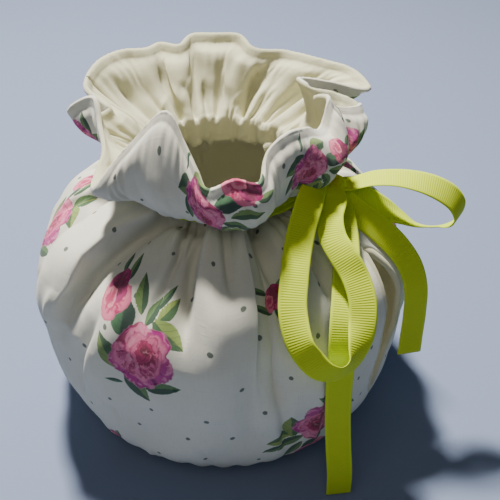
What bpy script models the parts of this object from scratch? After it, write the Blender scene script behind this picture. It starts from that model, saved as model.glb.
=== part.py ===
"""A gathered tea cosy: a printed cover and its plain lining, drawn in at the neck by a ribbon bow.

The cover keeps the round form that it has in use, and is hollow. Sizes are in millimetres and
angles in degrees. Azimuth 0 is +X, where one side opening is, 90 is the back, 180 the other side
opening and -90 the front. The hem stands on z = 0.
"""

import math

import bmesh
import bpy
import numpy as np
from mathutils import Vector

MM = 0.001

# Driving dimensions
NECK_HEIGHT = 134.0
NECK_RADIUS = 38.2
NECK_BAND = 4.6          # half the height of the straight gathered neck
COVER_THICKNESS = 1.6    # print cloth with its wadding
LINING_THICKNESS = 1.2
LAYER_GAP = 0.3          # between cover and lining
SEAM_GAP = 0.4           # between a panel's edge and its neighbour's
PANEL_COLUMNS = 40       # steps round each of the two panels
RIBBON_WIDTH = 12.0
RIBBON_THICKNESS = 1.0

# How far the cosy's axis stands from the middle of its box
AXIS_X = -7.18
AXIS_Y = 0.87

# The wall below the neck, from the shoulder down to the hem that is drawn in under it
WALL_PROFILE = (
    # height, radius
    (129.4, 38.2),
    (126.4, 48.0),
    (122.5, 58.0),
    (116.0, 69.0),
    (106.0, 80.5),
    (92.0, 88.5),
    (74.0, 90.5),
    (54.0, 89.0),
    (35.0, 85.5),
    (18.0, 79.5),
    (7.0, 72.0),
)
HEM_RADII = (68.0, 64.0, 59.0)

# The main folds, which spread from the neck and fade on the belly. A negative depth is a ridge.
WALL_FOLDS = (
    # neck_deg, belly_deg, depth, width_deg, reach
    (-164.0, -150.0, 4.0, 7.0, 70.0),
    (-140.0, -133.0, 3.5, 6.0, 78.0),
    (-122.0, -128.0, -3.0, 7.0, 60.0),
    (-97.0, -111.0, 8.5, 7.5, 84.0),
    (-84.0, -100.0, -3.0, 5.0, 40.0),
    (-88.0, -86.0, 3.5, 4.0, 92.0),
    (-71.0, -70.0, 4.5, 4.5, 88.0),
    (-60.0, -62.0, -2.5, 5.0, 45.0),
    (-49.0, -51.5, 4.5, 4.0, 30.0),
    (-38.0, -41.0, 4.0, 4.0, 62.0),
    (-20.0, -25.0, 4.0, 4.5, 58.0),
    (-6.0, -13.0, 3.0, 4.0, 84.0),
    (14.0, 12.0, 3.5, 5.0, 84.0),
    (33.0, 30.0, 5.0, 5.5, 74.0),
    (52.0, 49.0, 4.0, 5.0, 66.0),
    (66.0, 70.0, -2.5, 6.0, 50.0),
    (79.0, 84.0, 5.0, 5.5, 60.0),
    (101.0, 98.0, 4.0, 5.0, 80.0),
    (120.0, 124.0, 5.5, 6.0, 64.0),
    (143.0, 140.0, 4.0, 5.0, 78.0),
    (160.0, 158.0, 3.5, 5.0, 70.0),
    (176.0, 172.0, 3.0, 4.5, 90.0),
)

# The frill's edge, lobe by lobe, counter-clockwise. Belly is where its sheet lies halfway
# between the neck and that edge.
RUFFLE = (
    # azimuth, edge_radius, edge_height, belly_radius, belly_height
    (-163.0, 53.0, 156.0, 48.0, 149.0),
    (-158.0, 62.0, 153.5, 53.0, 146.0),
    (-157.0, 70.0, 157.0, 58.0, 146.5),
    (-153.0, 57.0, 166.5, 52.0, 149.0),
    (-143.0, 54.0, 158.5, 49.0, 149.0),
    (-128.0, 56.0, 151.0, 51.0, 147.0),
    (-120.0, 62.0, 147.5, 56.0, 146.0),
    (-111.0, 69.0, 149.0, 60.0, 146.0),
    (-104.0, 56.0, 166.0, 59.0, 148.0),
    (-91.0, 42.0, 180.0, 57.0, 151.0),
    (-80.0, 42.0, 172.0, 53.0, 149.0),
    (-72.0, 46.0, 165.0, 52.0, 145.0),
    (-66.0, 53.0, 157.0, 55.0, 143.0),
    (-54.0, 54.0, 157.0, 56.0, 143.0),
    (-45.0, 53.0, 157.0, 55.0, 143.0),
    (-36.0, 44.5, 164.0, 52.0, 145.0),
    (-25.0, 44.5, 170.0, 53.0, 147.0),
    (-8.0, 42.5, 166.5, 54.0, 148.0),
    (16.0, 45.0, 160.0, 57.0, 148.0),
    (27.0, 46.5, 169.5, 54.0, 149.0),
    (39.0, 43.0, 165.0, 47.0, 149.0),
    (37.0, 56.0, 159.0, 58.0, 147.0),
    (44.0, 66.0, 156.5, 62.0, 147.0),
    (49.0, 56.0, 161.0, 54.0, 148.5),
    (51.5, 41.0, 166.5, 44.0, 151.0),
    (61.0, 41.5, 166.5, 45.0, 151.0),
    (60.0, 61.0, 160.5, 54.0, 149.0),
    (54.0, 77.0, 157.5, 63.0, 148.0),
    (63.0, 77.0, 161.0, 61.0, 149.0),
    (76.0, 70.0, 163.0, 57.0, 149.0),
    (91.0, 66.0, 164.0, 55.0, 150.0),
    (106.0, 60.0, 166.0, 51.0, 151.0),
    (112.0, 65.5, 169.0, 55.0, 151.0),
    (123.0, 66.0, 169.5, 56.0, 151.0),
    (134.0, 67.0, 169.0, 55.0, 151.0),
    (139.5, 62.0, 167.0, 51.0, 151.0),
    (147.0, 69.0, 166.5, 56.0, 150.0),
    (154.0, 66.5, 166.5, 53.0, 150.0),
    (163.0, 71.0, 167.0, 57.0, 149.0),
    (180.0, 71.0, 166.0, 57.0, 149.0),
    (190.0, 68.0, 162.0, 56.0, 149.0),
)
RUFFLE_STEPS = 5

# How a fold changes on its way down, as powers and shares of its own reach
FOLD_PEAK_POWER = 0.6    # under 1, so that it is deepest in its upper half
FOLD_FULLNESS_POWER = 0.8
FOLD_SWING = 1.4         # how soon it has swung to its place on the belly
FOLD_TOP_WIDTH = 0.8
FOLD_WIDENING = 0.5

# The side openings, each a slit between the two panels
OPENINGS = {
    # azimuth: (lowest height, highest height, half width)
    0: (28.0, 113.0, 11.0),
    180: (28.0, 115.0, 15.0),
}
PARTING_SPREAD = 26.0    # how far round the wall the parting eases out, in degrees
PARTING_EASE_POWER = 1.5
SLIT_FULLNESS_POWER = 0.7

GATHER_COUNT = 20
GATHER_DEPTH = 0.9
GATHER_REACH = 14.0      # how far down the wall the neck's gathers fade out
HEM_GATHER_COUNT = 20
HEM_GATHER_DEPTH = 1.2
HEM_GATHER_REACH = 30.0  # how far up the wall the hem's gathers fade out

# The bow: its knot, and the middle of each run of ribbon from the knot on. Width azimuth and
# width tilt are the direction that the ribbon's width lies in.
KNOT = (10.0, 50.4, 134.5)
KNOT_HALF_SIZES = (8.6, 7.0, 4.6)
FRONT_LOOP = (
    # azimuth, radius, height, width_azimuth, width_tilt
    (10.0, 50.5, 134.5, 190.0, 70.0),
    (0.0, 55.0, 136.5, 200.0, 55.0),
    (-10.0, 57.0, 137.0, 205.0, 40.0),
    (-20.0, 59.5, 135.5, 210.0, 20.0),
    (-29.0, 64.0, 131.0, 210.0, 0.0),
    (-35.0, 71.0, 125.5, 210.0, 0.0),
    (-38.5, 79.0, 118.5, 210.0, 0.0),
    (-40.5, 87.0, 111.5, 205.0, -5.0),
    (-40.5, 94.0, 104.5, 195.0, -15.0),
    (-38.5, 99.5, 98.0, 175.0, -25.0),
    (-36.0, 103.0, 93.0, 150.0, -35.0),
    (-32.5, 104.5, 90.5, 120.0, -38.0),
    (-28.5, 104.0, 92.5, 80.0, -35.0),
    (-25.5, 101.0, 98.0, 50.0, -15.0),
    (-22.5, 96.5, 104.5, 35.0, 0.0),
    (-20.0, 91.5, 111.5, 30.0, 0.0),
    (-18.5, 84.5, 118.5, 30.0, 0.0),
    (-18.5, 77.0, 125.0, 25.0, 0.0),
    (-17.5, 69.5, 130.0, 0.0, -20.0),
    (-12.5, 62.5, 134.0, -50.0, -38.0),
    (-2.0, 57.5, 135.5, -90.0, -50.0),
    (10.0, 50.5, 134.5, -120.0, -60.0),
)
SIDE_LOOP = (
    (10.0, 50.5, 135.5, 100.0, 0.0),
    (14.0, 60.0, 134.5, 105.0, 0.0),
    (16.0, 70.0, 137.5, 106.0, 4.0),
    (17.0, 80.0, 138.5, 107.0, 8.0),
    (17.5, 90.0, 137.5, 106.0, 18.0),
    (18.0, 99.0, 134.5, 102.0, 28.0),
    (18.5, 106.5, 129.5, 95.0, 32.0),
    (19.0, 110.5, 122.5, 85.0, 20.0),
    (19.5, 109.0, 115.5, 90.0, -10.0),
    (20.0, 102.5, 111.5, 100.0, -32.0),
    (19.0, 94.0, 112.5, 108.0, -38.0),
    (17.5, 85.0, 117.5, 110.0, -38.0),
    (16.0, 76.0, 122.5, 110.0, -38.0),
    (13.5, 65.0, 129.0, 108.0, -30.0),
    (10.0, 50.5, 133.5, 100.0, -20.0),
)
FRONT_TAIL = (
    (10.0, 50.5, 133.5, 60.0, 0.0),
    (2.0, 59.5, 129.5, 50.0, 0.0),
    (-6.0, 66.5, 124.0, 40.0, 0.0),
    (-14.0, 74.5, 118.0, 32.0, 0.0),
    (-21.0, 83.5, 110.5, 30.0, 0.0),
    (-26.0, 91.5, 101.5, 30.0, 0.0),
    (-28.0, 96.0, 90.0, 32.0, 0.0),
    (-28.5, 97.5, 74.0, 38.0, 0.0),
    (-28.5, 99.0, 55.0, 40.0, 0.0),
    (-28.0, 101.0, 35.0, 38.0, 0.0),
    (-27.5, 103.0, 18.0, 36.0, 0.0),
    (-27.5, 104.0, 4.0, 36.0, 0.0),
)
SIDE_TAIL = (
    (10.0, 50.5, 133.5, 100.0, -10.0),
    (5.0, 62.0, 127.5, 100.0, -20.0),
    (5.5, 70.5, 123.5, 100.0, -25.0),
    (7.0, 79.0, 117.5, 100.0, -25.0),
    (8.0, 87.0, 110.0, 100.0, -20.0),
    (8.0, 93.5, 101.0, 100.0, -10.0),
    (7.5, 97.5, 89.0, 98.0, 0.0),
    (7.0, 99.0, 75.0, 96.0, 0.0),
    (6.5, 99.5, 62.0, 94.0, 0.0),
    (6.0, 100.0, 51.0, 92.0, 0.0),
)
RIBBON_STEP = 1.5        # sections between two rows of a run
BAND_CLEARANCE = 0.5     # between the neck's pleats and the band round them
BAND_HEIGHT = 6.0        # the ribbon is crushed narrower where it is tied
CRUSHED_SHARE = 0.4      # of its width, in the knot
CRUSHED_REACH = 24.0     # from the knot's middle to where it has its full width again
BAND_STEPS = 44
KNOT_STEPS = 12          # round the knot
KNOT_RINGS = 8
CREASE_ANGLE = 50.0      # a sharper edge is shaded as an edge

CREAM = (0.86, 0.84, 0.72, 1.0)
PRINT_WHITE = (0.87, 0.87, 0.82, 1.0)
RIBBON_GREEN = (0.66, 0.72, 0.09, 1.0)


def make_material(name, colour, roughness):
    """A plain cloth finish."""
    material = bpy.data.materials.new(name)
    material.use_nodes = True
    shader = material.node_tree.nodes["Principled BSDF"]
    shader.inputs["Base Color"].default_value = colour
    shader.inputs["Roughness"].default_value = roughness
    shader.inputs["Metallic"].default_value = 0.0
    return material


def at(azimuth, radius, height):
    """The points at cylindrical places round the cosy's axis."""
    turn = np.radians(np.asarray(azimuth, float))
    return np.stack(
        [radius * np.cos(turn), radius * np.sin(turn), height + np.zeros_like(turn)], axis=-1
    )


def heading(azimuth, tilt):
    """The unit directions at the given azimuths and tilts above the level."""
    turn, rise = np.radians(azimuth), np.radians(tilt)
    return np.stack(
        [np.cos(rise) * np.cos(turn), np.cos(rise) * np.sin(turn), np.sin(rise)], axis=-1
    )


def hermite(points, tangents, gaps, row, following, t):
    """Points between two rows of a smooth curve, t of the way from one to the other."""
    gap = gaps[row][:, None]
    t = t[:, None]
    return (
        (2 * t**3 - 3 * t**2 + 1) * points[row]
        + (t**3 - 2 * t**2 + t) * gap * tangents[row]
        + (3 * t**2 - 2 * t**3) * points[following]
        + (t**3 - t**2) * gap * tangents[following]
    )


def closed_curve(points, knots, period, where):
    """A smooth closed curve through the points, read at the given distances along it."""
    gaps = np.diff(np.append(knots, knots[0] + period))
    slope = (np.roll(points, -1, axis=0) - points) / gaps[:, None]
    before, gaps_before = np.roll(slope, 1, axis=0), np.roll(gaps, 1)
    weight = (gaps / (gaps + gaps_before))[:, None]
    tangents = slope * (1 - weight) + before * weight
    place = (where - knots[0]) % period + knots[0]
    row = np.searchsorted(knots, place, side="right") - 1
    t = (place - knots[row]) / gaps[row]
    return hermite(points, tangents, gaps, row, (row + 1) % len(knots), t)


def open_curve(points, count):
    """Evenly numbered points on a smooth curve through all the given ones."""
    tangents = np.gradient(points, axis=0)
    place = np.linspace(0.0, len(points) - 1.0, count)
    row = np.minimum(place.astype(int), len(points) - 2)
    return hermite(points, tangents, np.ones(len(points)), row, row + 1, place - row)


def gathers(azimuths, count, depth):
    """Small even pleats round a drawn-in edge."""
    return depth * np.sin(np.radians(azimuths * count))


def fold_depths(azimuths, height):
    """How far the wall's folds draw it in at a height, for each azimuth."""
    top = WALL_PROFILE[0][0]
    inward = np.zeros(len(azimuths))
    for neck_deg, belly_deg, depth, width, reach in WALL_FOLDS:
        if height <= reach:
            continue
        down = (top - height) / (top - reach)
        centre = neck_deg + (belly_deg - neck_deg) * min(1.0, FOLD_SWING * down)
        # A fold starts at the tight neck, is deepest on the shoulder, and fades where it ends
        strength = depth * math.sin(math.pi * down**FOLD_PEAK_POWER) ** FOLD_FULLNESS_POWER
        off = (azimuths - centre + 180.0) % 360.0 - 180.0
        inward += strength * np.exp(-((off / (width * (FOLD_TOP_WIDTH + FOLD_WIDENING * down))) ** 2))
    return inward


def parted(azimuths, height, radius):
    """The azimuths of a row, its columns held apart from each seam that is open at its height."""
    moved = azimuths.copy()
    for edge, side in ((azimuths[1], 1.0), (azimuths[-2], -1.0)):
        low, high, half_width = OPENINGS[round(edge) % 360]
        if not low < height < high:
            continue
        gap = half_width * math.sin(math.pi * (height - low) / (high - low)) ** SLIT_FULLNESS_POWER
        off = (azimuths - edge) * side
        ease = np.clip(1.0 - np.abs(off) / PARTING_SPREAD, 0.0, 1.0) ** PARTING_EASE_POWER
        moved += side * np.where(off > -1.0, ease, -ease) * math.degrees(gap / radius)
    return moved


def ruffle_rows(azimuths):
    """The rows of the frill from its edge to the top of the neck, for one panel's columns."""
    table = np.array(RUFFLE)
    edge = at(table[:, 0], table[:, 1], table[:, 2])
    steps = np.linalg.norm(np.roll(edge, -1, axis=0) - edge, axis=1)
    length = steps.sum()
    along = np.cumsum(steps) - steps
    turned = np.degrees(np.unwrap(np.radians(table[:, 0])))
    # The cloth is gathered evenly, so a point's share of the edge is its share of the neck
    offset = np.mean(turned - along * 360.0 / length)
    gathered = along * 360.0 / length + offset
    belly = at((turned + gathered) / 2, table[:, 3], table[:, 4])

    wanted = (azimuths - offset) * length / 360.0
    edge_row = closed_curve(edge, along, length, wanted)
    belly_row = closed_curve(belly, along, length, wanted)
    pleats = gathers(azimuths, GATHER_COUNT, GATHER_DEPTH)
    root = at(azimuths, NECK_RADIUS + pleats, NECK_HEIGHT + NECK_BAND)
    pull = 2 * belly_row - (root + edge_row) / 2
    rows = []
    for step in range(RUFFLE_STEPS, -1, -1):
        t = step / RUFFLE_STEPS
        rows.append((1 - t) ** 2 * root + 2 * t * (1 - t) * pull + t**2 * edge_row)
    return rows


def wall_rows(azimuths):
    """The rows from the shoulder down to the hem drawn in under it, for one panel's columns."""
    pleats = gathers(azimuths, GATHER_COUNT, GATHER_DEPTH)
    hem_pleats = gathers(azimuths, HEM_GATHER_COUNT, HEM_GATHER_DEPTH)
    rows = []
    for height, radius in WALL_PROFILE:
        tightness = max(0.0, 1.0 - (WALL_PROFILE[0][0] - height) / GATHER_REACH)
        lowness = max(0.0, 1.0 - height / HEM_GATHER_REACH)
        ring = radius - fold_depths(azimuths, height) + pleats * tightness + hem_pleats * lowness
        rows.append(at(parted(azimuths, height, radius), ring, height))
    for radius in HEM_RADII:
        rows.append(at(azimuths, radius + hem_pleats, LAYER_GAP / 2 + COVER_THICKNESS))
    return rows


def outward_normals(grid):
    """The unit normal at each point of a grid, pointing to the cloth's printed side."""
    normal = np.cross(np.gradient(grid, axis=0), np.gradient(grid, axis=1))
    return normal / np.linalg.norm(normal, axis=2, keepdims=True)


def panel_grid(first_azimuth):
    """One panel's middle surface from frill to hem, as rows and columns, and its normals."""
    step = 180.0 / PANEL_COLUMNS
    # One more column past each seam lets the two panels share their normals there
    azimuths = first_azimuth + step * np.arange(-1, PANEL_COLUMNS + 2)
    pleats = gathers(azimuths, GATHER_COUNT, GATHER_DEPTH)
    waist = at(azimuths, NECK_RADIUS + pleats, NECK_HEIGHT)
    grid = np.array(ruffle_rows(azimuths) + [waist] + wall_rows(azimuths))
    normals = outward_normals(grid)[:, 1:-1]
    grid = grid[:, 1:-1]
    for edge, inner in ((0, 1), (-1, -2)):
        inward = grid[:, inner] - grid[:, edge]
        grid[:, edge] += inward / np.linalg.norm(inward, axis=1, keepdims=True) * SEAM_GAP / 2
    return grid, normals


def add_sheet(name, face, back, collection):
    """A closed sheet of cloth between its face and its back, each a grid of points."""
    sections = np.concatenate([face, back[:, ::-1]], axis=1)
    count = sections.shape[1]
    half = count // 2
    mesh = bmesh.new()
    points = [[mesh.verts.new(Vector(point) * MM) for point in section] for section in sections]
    for upper, lower in zip(points, points[1:]):
        for here in range(count):
            there = (here + 1) % count
            quad = [upper[here], lower[here], lower[there], upper[there]]
            # Face and back are split along the same diagonal, so that neighbours don't cross
            mesh.faces.new(quad if here < half else quad[1:] + quad[:1])
    for here in range(half - 1):
        first, last = points[0], points[-1]
        mesh.faces.new((first[here], first[here + 1], first[-here - 2], first[-here - 1]))
        mesh.faces.new((last[here], last[-here - 1], last[-here - 2], last[here + 1]))
    bmesh.ops.triangulate(mesh, faces=mesh.faces[:], quad_method="FIXED")
    data = bpy.data.meshes.new(name)
    mesh.to_mesh(data)
    mesh.free()
    data.shade_smooth()
    data.set_sharp_from_angle(angle=math.radians(CREASE_ANGLE))
    sheet = bpy.data.objects.new(name, data)
    collection.objects.link(sheet)
    sheet.parent = stand
    return sheet


def add_cloth(materials):
    """The two panels of the printed cover, and the two panels of its lining."""
    layers = (
        # name, face and back, off the middle surface
        ("cover", LAYER_GAP / 2 + COVER_THICKNESS, LAYER_GAP / 2),
        ("lining", -LAYER_GAP / 2, -LAYER_GAP / 2 - LINING_THICKNESS),
    )
    for panel, first_azimuth in (("back", 0.0), ("front", 180.0)):
        grid, normals = panel_grid(first_azimuth)
        for layer, outer, inner in layers:
            sheet = add_sheet(f"{layer}_{panel}", grid + normals * outer, grid + normals * inner, cosy)
            sheet.data.materials.append(materials[layer])


def ribbon_run(name, table):
    """A run of ribbon through a table's rows, its width laid the way that each row says."""
    rows = np.array(table)
    centres = at(rows[:, 0], rows[:, 1], rows[:, 2])
    widths = heading(rows[:, 3], rows[:, 4])
    count = round((len(rows) - 1) * RIBBON_STEP) + 1
    centres = open_curve(centres, count)
    widths = open_curve(widths, count)
    along = np.gradient(centres, axis=0)
    along /= np.linalg.norm(along, axis=1, keepdims=True)
    widths -= along * np.sum(widths * along, axis=1, keepdims=True)
    reach = np.linalg.norm(centres - at(*KNOT), axis=1, keepdims=True)
    share = np.clip(CRUSHED_SHARE + (1.0 - CRUSHED_SHARE) * reach / CRUSHED_REACH, 0.0, 1.0)
    half = widths / np.linalg.norm(widths, axis=1, keepdims=True) * share * RIBBON_WIDTH / 2
    grid = np.stack([centres - half, centres + half], axis=1)
    lift = outward_normals(grid) * RIBBON_THICKNESS / 2
    return as_operand(add_sheet(name, grid + lift, grid - lift, ribbon_runs))


def as_operand(piece):
    """Marks a piece that only joins another."""
    piece.hide_render = True
    piece.display_type = "WIRE"
    return piece


def add_knot():
    """The bow's knot, a drawn-up wad of ribbon seated on the band."""
    mesh = bmesh.new()
    bmesh.ops.create_uvsphere(mesh, u_segments=KNOT_STEPS, v_segments=KNOT_RINGS, radius=1.0)
    data = bpy.data.meshes.new("knot")
    mesh.to_mesh(data)
    mesh.free()
    for vertex in data.vertices:
        vertex.co = Vector([size * value * MM for size, value in zip(KNOT_HALF_SIZES, vertex.co)])
    knot = bpy.data.objects.new("knot", data)
    ribbon_runs.objects.link(knot)
    knot.parent = stand
    knot.location = Vector(at(*KNOT)) * MM
    knot.rotation_euler = (0.0, 0.0, math.radians(KNOT[0]))
    return as_operand(knot)


def add_ribbon(material):
    """The ribbon: a band tied round the neck, with its knot, two loops and two tails joined on."""
    outside = NECK_RADIUS + GATHER_DEPTH + LAYER_GAP / 2 + COVER_THICKNESS
    radius = outside + BAND_CLEARANCE + RIBBON_THICKNESS / 2
    mesh = bmesh.new()
    bmesh.ops.create_cone(
        mesh, cap_ends=False, segments=BAND_STEPS, radius1=radius * MM, radius2=radius * MM,
        depth=BAND_HEIGHT * MM,
    )
    data = bpy.data.meshes.new("ribbon")
    mesh.to_mesh(data)
    mesh.free()
    ribbon = bpy.data.objects.new("ribbon", data)
    cosy.objects.link(ribbon)
    ribbon.parent = stand
    ribbon.location = (0.0, 0.0, NECK_HEIGHT * MM)
    data.materials.append(material)
    solidify = ribbon.modifiers.new("thickness", "SOLIDIFY")
    solidify.thickness = RIBBON_THICKNESS * MM
    solidify.offset = 0.0
    add_knot()
    ribbon_run("front_loop", FRONT_LOOP)
    ribbon_run("side_loop", SIDE_LOOP)
    ribbon_run("front_tail", FRONT_TAIL)
    ribbon_run("side_tail", SIDE_TAIL)
    join = ribbon.modifiers.new("tied_together", "BOOLEAN")
    join.operation = "UNION"
    join.operand_type = "COLLECTION"
    join.collection = ribbon_runs


def add_collection(name):
    """A new collection in the scene."""
    collection = bpy.data.collections.new(name)
    bpy.context.scene.collection.children.link(collection)
    return collection


for leftover in list(bpy.data.objects):
    bpy.data.objects.remove(leftover)
cosy = add_collection("tea_cosy")
ribbon_runs = add_collection("ribbon_runs")
stand = bpy.data.objects.new("cosy_axis", None)
stand.location = (AXIS_X * MM, AXIS_Y * MM, 0.0)
cosy.objects.link(stand)
add_cloth(
    {
        "cover": make_material("print_cotton", PRINT_WHITE, 0.85),
        "lining": make_material("cream_cotton", CREAM, 0.85),
    }
)
add_ribbon(make_material("grosgrain", RIBBON_GREEN, 0.55))
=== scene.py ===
"""The looks of a gathered tea cosy: a printed cover, its cream lining and a grosgrain bow.

The classes measure in millimetres and degrees, as a maker would, and the meshes are made in
metres. Azimuth 0 is +X, where one side opening is, 90 is the back and -90 the front.
"""

import logging
import math
from collections.abc import Mapping, Sequence
from dataclasses import dataclass, field
from enum import Enum

import bpy
import numpy as np
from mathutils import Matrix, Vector


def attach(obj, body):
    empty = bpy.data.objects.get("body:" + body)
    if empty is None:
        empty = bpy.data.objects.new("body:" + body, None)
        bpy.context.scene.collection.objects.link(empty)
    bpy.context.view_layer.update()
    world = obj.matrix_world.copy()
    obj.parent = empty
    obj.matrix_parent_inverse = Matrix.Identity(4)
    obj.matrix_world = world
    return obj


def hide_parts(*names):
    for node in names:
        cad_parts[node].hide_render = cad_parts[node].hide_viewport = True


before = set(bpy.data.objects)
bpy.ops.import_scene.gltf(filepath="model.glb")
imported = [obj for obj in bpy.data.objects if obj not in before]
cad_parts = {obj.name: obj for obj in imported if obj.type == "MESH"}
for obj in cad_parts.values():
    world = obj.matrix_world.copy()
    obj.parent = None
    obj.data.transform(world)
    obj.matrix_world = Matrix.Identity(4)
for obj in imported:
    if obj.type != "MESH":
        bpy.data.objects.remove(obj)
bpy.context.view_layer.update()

LOG = logging.getLogger("tea_cosy")
Array = np.ndarray
Socket = bpy.types.NodeSocket
Colour = tuple[float, float, float]

MM = 0.001
AXIS = Vector((-7.18, 0.87, 0.0)) * MM       # where the cosy's axis stands in the frame
BODY = "root"


def each_row(kind: type, rows: Sequence[tuple]) -> tuple:
    """One of a kind of dataclass for each row of a table."""
    return tuple(kind(*row) for row in rows)


class Slot(Enum):
    """The record's material slots."""

    PRINT = "print_cotton"
    CREAM = "cream_cotton"
    RIBBON = "grosgrain"


class Side(Enum):
    """The two panels that the cosy is cut in, by the azimuths of their side seams."""

    FRONT = (-180.0, 0.0)
    BACK = (0.0, 180.0)


class Motif(Enum):
    """What the print is made of."""

    ROSE = "rose"
    BUD = "bud"
    LEAF = "leaf"


def smooth(low: float, high: float, value: Array) -> Array:
    """0 up to low, 1 from high on, and an easy curve between them."""
    t = np.clip((value - low) / (high - low), 0.0, 1.0)
    return t * t * (3.0 - 2.0 * t)


def polar(azimuth: Array, radius: Array, height: Array) -> Array:
    """Points at cylindrical places round the cosy's axis.

    Args:
        azimuth: Degrees round the axis.
        radius: Millimetres from the axis.
        height: Millimetres above the surface that the cosy stands on.

    Returns:
        The points, with x, y and z on the last axis.
    """
    turn = np.radians(azimuth)
    x, y, z = np.broadcast_arrays(radius * np.cos(turn), radius * np.sin(turn), height)
    return np.stack([x, y, z], axis=-1).astype(float)


def degrees_off(azimuths: Array, middle: Array) -> Array:
    """How far each azimuth lies from a middle one, the short way round."""
    return (azimuths - middle + 180.0) % 360.0 - 180.0


def bell(off: Array) -> Array:
    """A soft bump, 1 in its middle and nearly 0 from 2 on either side."""
    return np.exp(-(off**2))


def unit(vectors: Array) -> Array:
    """The vectors at length 1."""
    return vectors / np.maximum(np.linalg.norm(vectors, axis=-1, keepdims=True), 1e-9)


def hermite(points: Array, tangents: Array, gaps: Array, row: Array, after: Array, t: Array) -> Array:
    """Points between two rows of a smooth curve.

    Args:
        points: The curve's own points.
        tangents: Its direction at each of them.
        gaps: The distance from each point to the next.
        row: The point before each wanted place.
        after: The point after it.
        t: How far on the wanted place is, from 0 to 1.

    Returns:
        One point for each wanted place.
    """
    gap, t = gaps[row][:, None], t[:, None]
    return (
        (2 * t**3 - 3 * t**2 + 1) * points[row]
        + (t**3 - 2 * t**2 + t) * gap * tangents[row]
        + (3 * t**2 - 2 * t**3) * points[after]
        + (t**3 - t**2) * gap * tangents[after]
    )


def closed_curve(points: Array, knots: Array, period: float, where: Array) -> Array:
    """A smooth closed curve through the points, read at distances along it.

    Args:
        points: The curve's own points.
        knots: How far along the curve each of them is.
        period: The whole curve's length.
        where: The wanted distances.

    Returns:
        One point for each wanted distance.
    """
    gaps = np.diff(np.append(knots, knots[0] + period))
    slope = (np.roll(points, -1, axis=0) - points) / gaps[:, None]
    before, gaps_before = np.roll(slope, 1, axis=0), np.roll(gaps, 1)
    weight = (gaps / (gaps + gaps_before))[:, None]
    tangents = slope * (1 - weight) + before * weight
    place = (where - knots[0]) % period + knots[0]
    row = np.searchsorted(knots, place, side="right") - 1
    return hermite(points, tangents, gaps, row, (row + 1) % len(knots), (place - knots[row]) / gaps[row])


def open_curve(points: Array, count: int) -> Array:
    """Evenly numbered points on a smooth curve through all the given ones."""
    tangents = np.gradient(points, axis=0)
    place = np.linspace(0.0, len(points) - 1.0, count)
    row = np.minimum(place.astype(int), len(points) - 2)
    return hermite(points, tangents, np.ones(len(points)), row, row + 1, place - row)


def length_along(points: Array) -> Array:
    """The distance from the first of a row of points to each of them."""
    steps = np.linalg.norm(np.diff(points, axis=0), axis=-1)
    return np.concatenate([np.zeros((1,) + steps.shape[1:]), np.cumsum(steps, axis=0)])


@dataclass(frozen=True)
class Fold:
    """A main fold, which spreads from the neck and fades on the belly. A ridge has depth below 0."""

    neck_deg: float
    belly_deg: float
    depth: float
    width_deg: float
    reach: float


@dataclass(frozen=True)
class Crease:
    """A crisper crease on a fold, steeper on one side than on the other.

    Its path is in azimuth and millimetres down the cloth from the neck, below 0 on the frill. A
    ridge has depth below 0, and lean is how far its crest hangs over to the right.
    """

    path: tuple[tuple[float, float], ...]
    depth: float
    left: float
    right: float
    lean: float = 0.0


@dataclass(frozen=True)
class Puff:
    """A place inside the frill where the padded lining swells between its creases."""

    azimuth: float
    half_deg: float
    down: float
    half_down: float
    height: float


@dataclass(frozen=True)
class Lobe:
    """A place on the frill's edge, and where its sheet lies halfway down to the neck."""

    azimuth: float
    edge_radius: float
    edge_height: float
    belly_radius: float
    belly_height: float


@dataclass(frozen=True)
class Slit:
    """A side opening between the two panels."""

    low: float
    high: float
    half_width: float


MAIN_FOLDS = each_row(Fold, (
    # neck_deg, belly_deg, depth, width_deg, reach
    (-164.0, -150.0, 4.0, 7.0, 70.0),
    (-140.0, -133.0, 3.5, 6.0, 78.0),
    (-122.0, -128.0, -3.0, 7.0, 60.0),
    (-97.0, -111.0, 8.5, 7.5, 84.0),
    (-84.0, -100.0, -3.0, 5.0, 40.0),
    (-88.0, -86.0, 3.5, 4.0, 92.0),
    (-71.0, -70.0, 4.5, 4.5, 88.0),
    (-60.0, -62.0, -2.5, 5.0, 45.0),
    (-49.0, -51.5, 4.5, 4.0, 30.0),
    (-38.0, -41.0, 4.0, 4.0, 62.0),
    (-20.0, -25.0, 4.0, 4.5, 58.0),
    (-6.0, -13.0, 3.0, 4.0, 84.0),
    (14.0, 12.0, 3.5, 5.0, 84.0),
    (33.0, 30.0, 5.0, 5.5, 74.0),
    (52.0, 49.0, 4.0, 5.0, 66.0),
    (66.0, 70.0, -2.5, 6.0, 50.0),
    (79.0, 84.0, 5.0, 5.5, 60.0),
    (101.0, 98.0, 4.0, 5.0, 80.0),
    (120.0, 124.0, 5.5, 6.0, 64.0),
    (143.0, 140.0, 4.0, 5.0, 78.0),
    (160.0, 158.0, 3.5, 5.0, 70.0),
    (176.0, 172.0, 3.0, 4.5, 90.0),
))

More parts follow.
